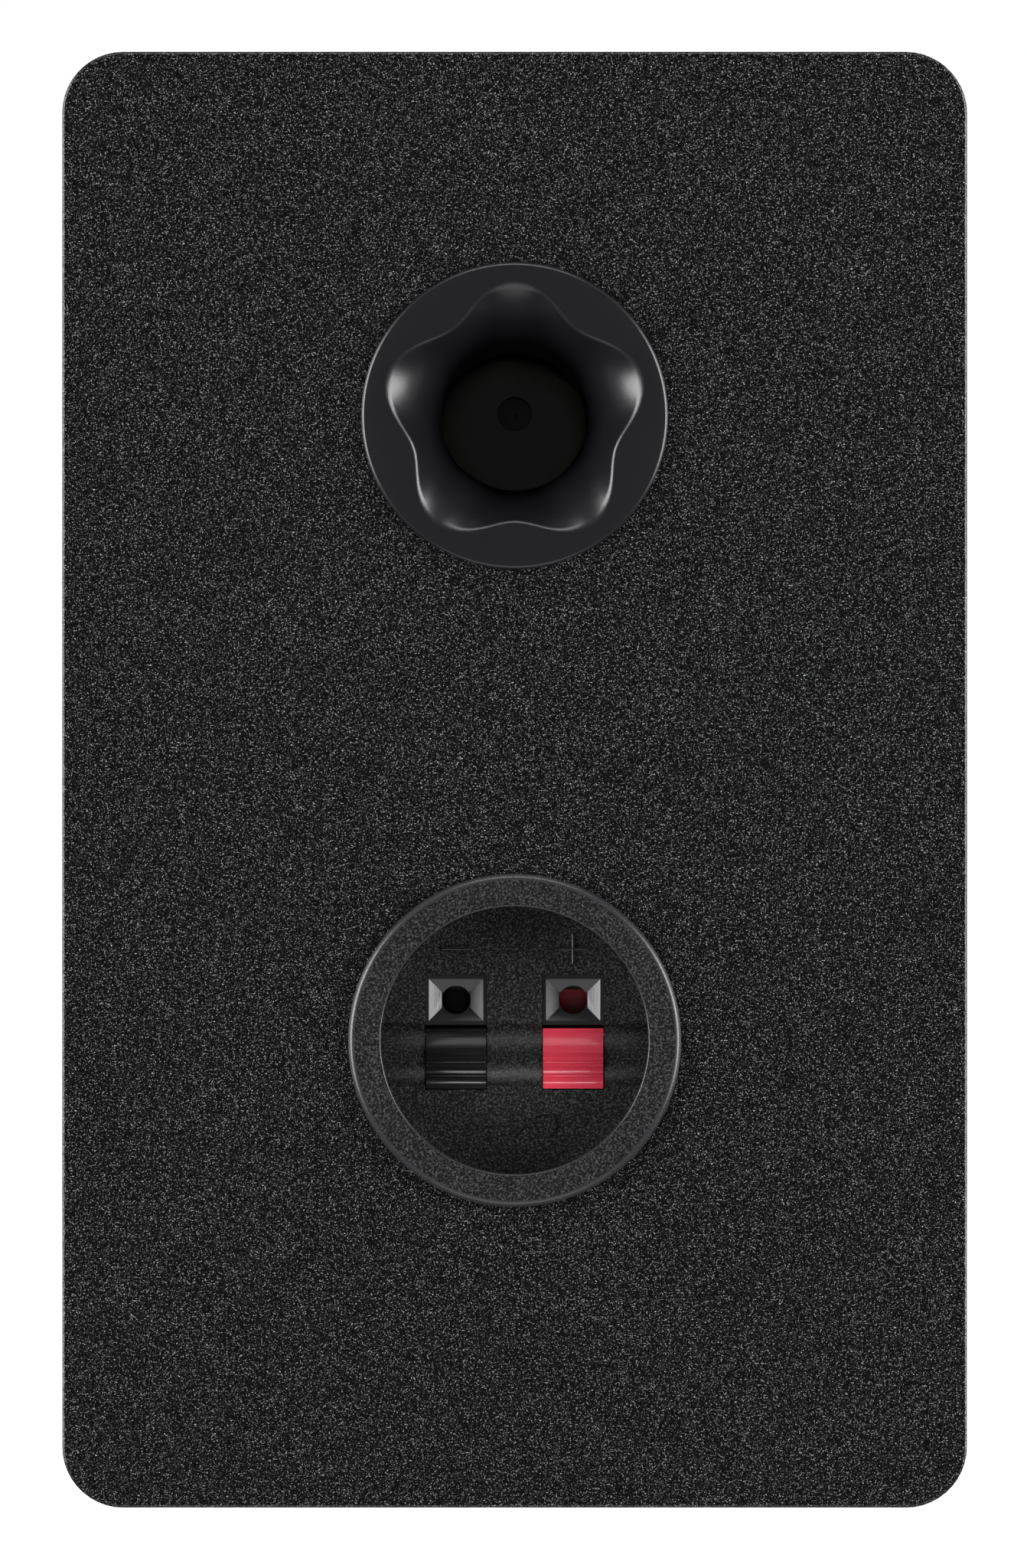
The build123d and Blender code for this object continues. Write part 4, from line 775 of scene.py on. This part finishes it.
def along_walls(s):
    """Place and outward direction, in X and Z, s metres along the blanket's middle."""
    inside = bend - thickness / 2
    if s < leg:
        return (wadding_low.x + thickness / 2, wadding_low.z + s), (-1, 0)
    if s > blanket_length - leg:
        return (wadding_high.x - thickness / 2, wadding_low.z + blanket_length - s), (1, 0)
    if leg + arc < s < leg + arc + roof:
        return (wadding_low.x + bend + s - leg - arc, wadding_high.z - thickness / 2), (0, 1)
    left = s < blanket_length / 2
    angle = (s - leg) / inside if left else (blanket_length - leg - s) / inside
    out = (-math.cos(angle) if left else math.cos(angle), math.sin(angle))
    centre = (wadding_low.x + bend if left else wadding_high.x - bend, wadding_high.z - bend)
    return (centre[0] + inside * out[0], centre[1] + inside * out[1]), out


bm = bmesh.new()
bmesh.ops.create_grid(bm, x_segments=200, y_segments=46, size=0.5)
bmesh.ops.scale(bm, vec=(blanket_length, blanket_depth, 1), verts=bm.verts[:])
moved = bmesh.ops.extrude_face_region(bm, geom=bm.faces[:])["geom"]
bmesh.ops.translate(bm, vec=(0, 0, 1),
                    verts=[g for g in moved if isinstance(g, bmesh.types.BMVert)])
for v in bm.verts:
    side = 1 if v.co.z > 0.5 else -1
    rim = min(blanket_length / 2 - abs(v.co.x), blanket_depth / 2 - abs(v.co.y))
    thin = math.sqrt(1 - (1 - min(1.0, max(0.0, rim) / edge_taper)) ** 2)
    lump = noise.noise(Vector((v.co.x, v.co.y, side * face_shift)) / lump_size)
    lump += 0.5 * noise.noise(Vector((v.co.x, v.co.y, side * 2 * face_shift)) / small_lump_size)
    offset = side * (edge_half + loft * thin + lump_height * lump * thin)
    (x, z), out = along_walls(v.co.x + blanket_length / 2)
    y = (wadding_low.y + wadding_high.y) / 2 + v.co.y * cut_back
    v.co = (x + out[0] * offset, y, z + out[1] * offset)
polyester = grained("polyester_wadding", "#b9b8b4", "#dddcd8", 0.95, 1.4, 0.5, Sheen_Weight=0.5)
wadding = make_object("wadding_blanket", bm, polyester, 80)
fit_out(wadding, "cabinet", "wadding", "damping_wadding")

# %% [markdown]
# ## Studio
# The speaker stands on a plain pale floor. Two tall soft boxes stand at its left and right and a
# weaker one hangs above. Another shines up through the floor, which is set to cast no shadow. Two
# more light the front, and a dim sky fills in.
# A black object shows its shape by what it reflects, so the boxes are what draws the lobes of
# the port and the rims of the cup. The floor glows for the camera alone, because its light
# would wash them out. A narrow spot lamp shines down the port and shows what is at its end.

# %% Floor and sky
floor_radius, pool_mm, far_glow, near_glow = 30.0, 420, 1.0, 0.62
sky_light = 0.05
floor_mesh = bpy.data.meshes.new("floor")
bm = bmesh.new()
bmesh.ops.create_circle(bm, cap_ends=True, segments=96, radius=floor_radius)
bm.to_mesh(floor_mesh)
bm.free()
floor = bpy.data.objects.new("floor", floor_mesh)
floor.location.z = cad_low.z
bpy.context.scene.collection.objects.link(floor)
floor.visible_glossy = False
floor.visible_shadow = False
pale, tree, shader = start_material("pale_floor", "#f2f2f2", 0.9, Specular_IOR_Level=0.0)
shader.inputs["Emission Color"].default_value = linear("#ffffff")
reach = add(tree, "ShaderNodeTexGradient", {"Vector": place_scaled(tree, pool_mm)},
            gradient_type="SPHERICAL")
glow = add(tree, "ShaderNodeMapRange", {"Value": reach.outputs["Fac"],
                                        "To Min": far_glow, "To Max": near_glow})
ray = add(tree, "ShaderNodeLightPath")
seen_glow = add(tree, "ShaderNodeMath", {0: glow.outputs["Result"],
                                         1: ray.outputs["Is Camera Ray"]}, operation="MULTIPLY")
tree.links.new(seen_glow.outputs["Value"], shader.inputs["Emission Strength"])
floor_mesh.materials.append(pale)

world = bpy.data.worlds.new("sky")
bpy.context.scene.world = world
world.use_nodes = True
tree = world.node_tree
tree.nodes.clear()
seen = add(tree, "ShaderNodeBackground", {"Color": linear("#ffffff"), "Strength": 1.0})
lighting = add(tree, "ShaderNodeBackground", {"Color": linear("#ffffff"),
                                                  "Strength": sky_light})
ray = add(tree, "ShaderNodeLightPath")
mix = add(tree, "ShaderNodeMixShader", {0: ray.outputs["Is Camera Ray"],
                                        1: lighting.outputs[0], 2: seen.outputs[0]})
add(tree, "ShaderNodeOutputWorld", {"Surface": mix.outputs[0]})
bpy.context.scene.view_settings.view_transform = "Standard"


# %% Soft boxes
def soft_box(name, place, aim, width, height, power):
    """A rectangular lamp at place that faces aim, out of the camera's sight."""
    lamp = bpy.data.lights.new(name, "AREA")
    lamp.shape = "RECTANGLE"
    lamp.size = width
    lamp.size_y = height
    lamp.energy = power
    box = bpy.data.objects.new(name, lamp)
    box.location = place
    box.rotation_euler = (Vector(aim) - Vector(place)).to_track_quat("-Z", "Y").to_euler()
    box.visible_camera = False
    bpy.context.scene.collection.objects.link(box)


middle = (0, 0.1, cad_high.z / 2)
snoot_distance = 1.0
for side in (-1, 1):
    soft_box(f"side_box_{side}", (side * 1.25, 0.72, 0.3), middle, 0.75, 1.15, 34)
soft_box("top_box", (0, 0.75, 1.35), middle, 1.0, 0.3, 7)
soft_box("low_box", (0, 1.0, -1.0), middle, 1.2, 0.8, 5)
snoot = bpy.data.lights.new("port_snoot", "SPOT")
snoot.energy = 1.7
snoot.spot_size = math.radians(1.3)
snoot.spot_blend = 0.3
snoot.shadow_soft_size = 0.004
snoot_lamp = bpy.data.objects.new("port_snoot", snoot)
snoot_lamp.location = (0, rear_face + snoot_distance, port_z)
snoot_lamp.rotation_euler = (math.radians(90), 0, math.radians(180))
snoot_lamp.visible_camera = False
bpy.context.scene.collection.objects.link(snoot_lamp)
soft_box("front_box", (-0.9, -1.8, 1.1), middle, 1.2, 1.2, 22)
soft_box("front_fill", (1.3, -1.5, 0.5), middle, 0.8, 1.4, 12)
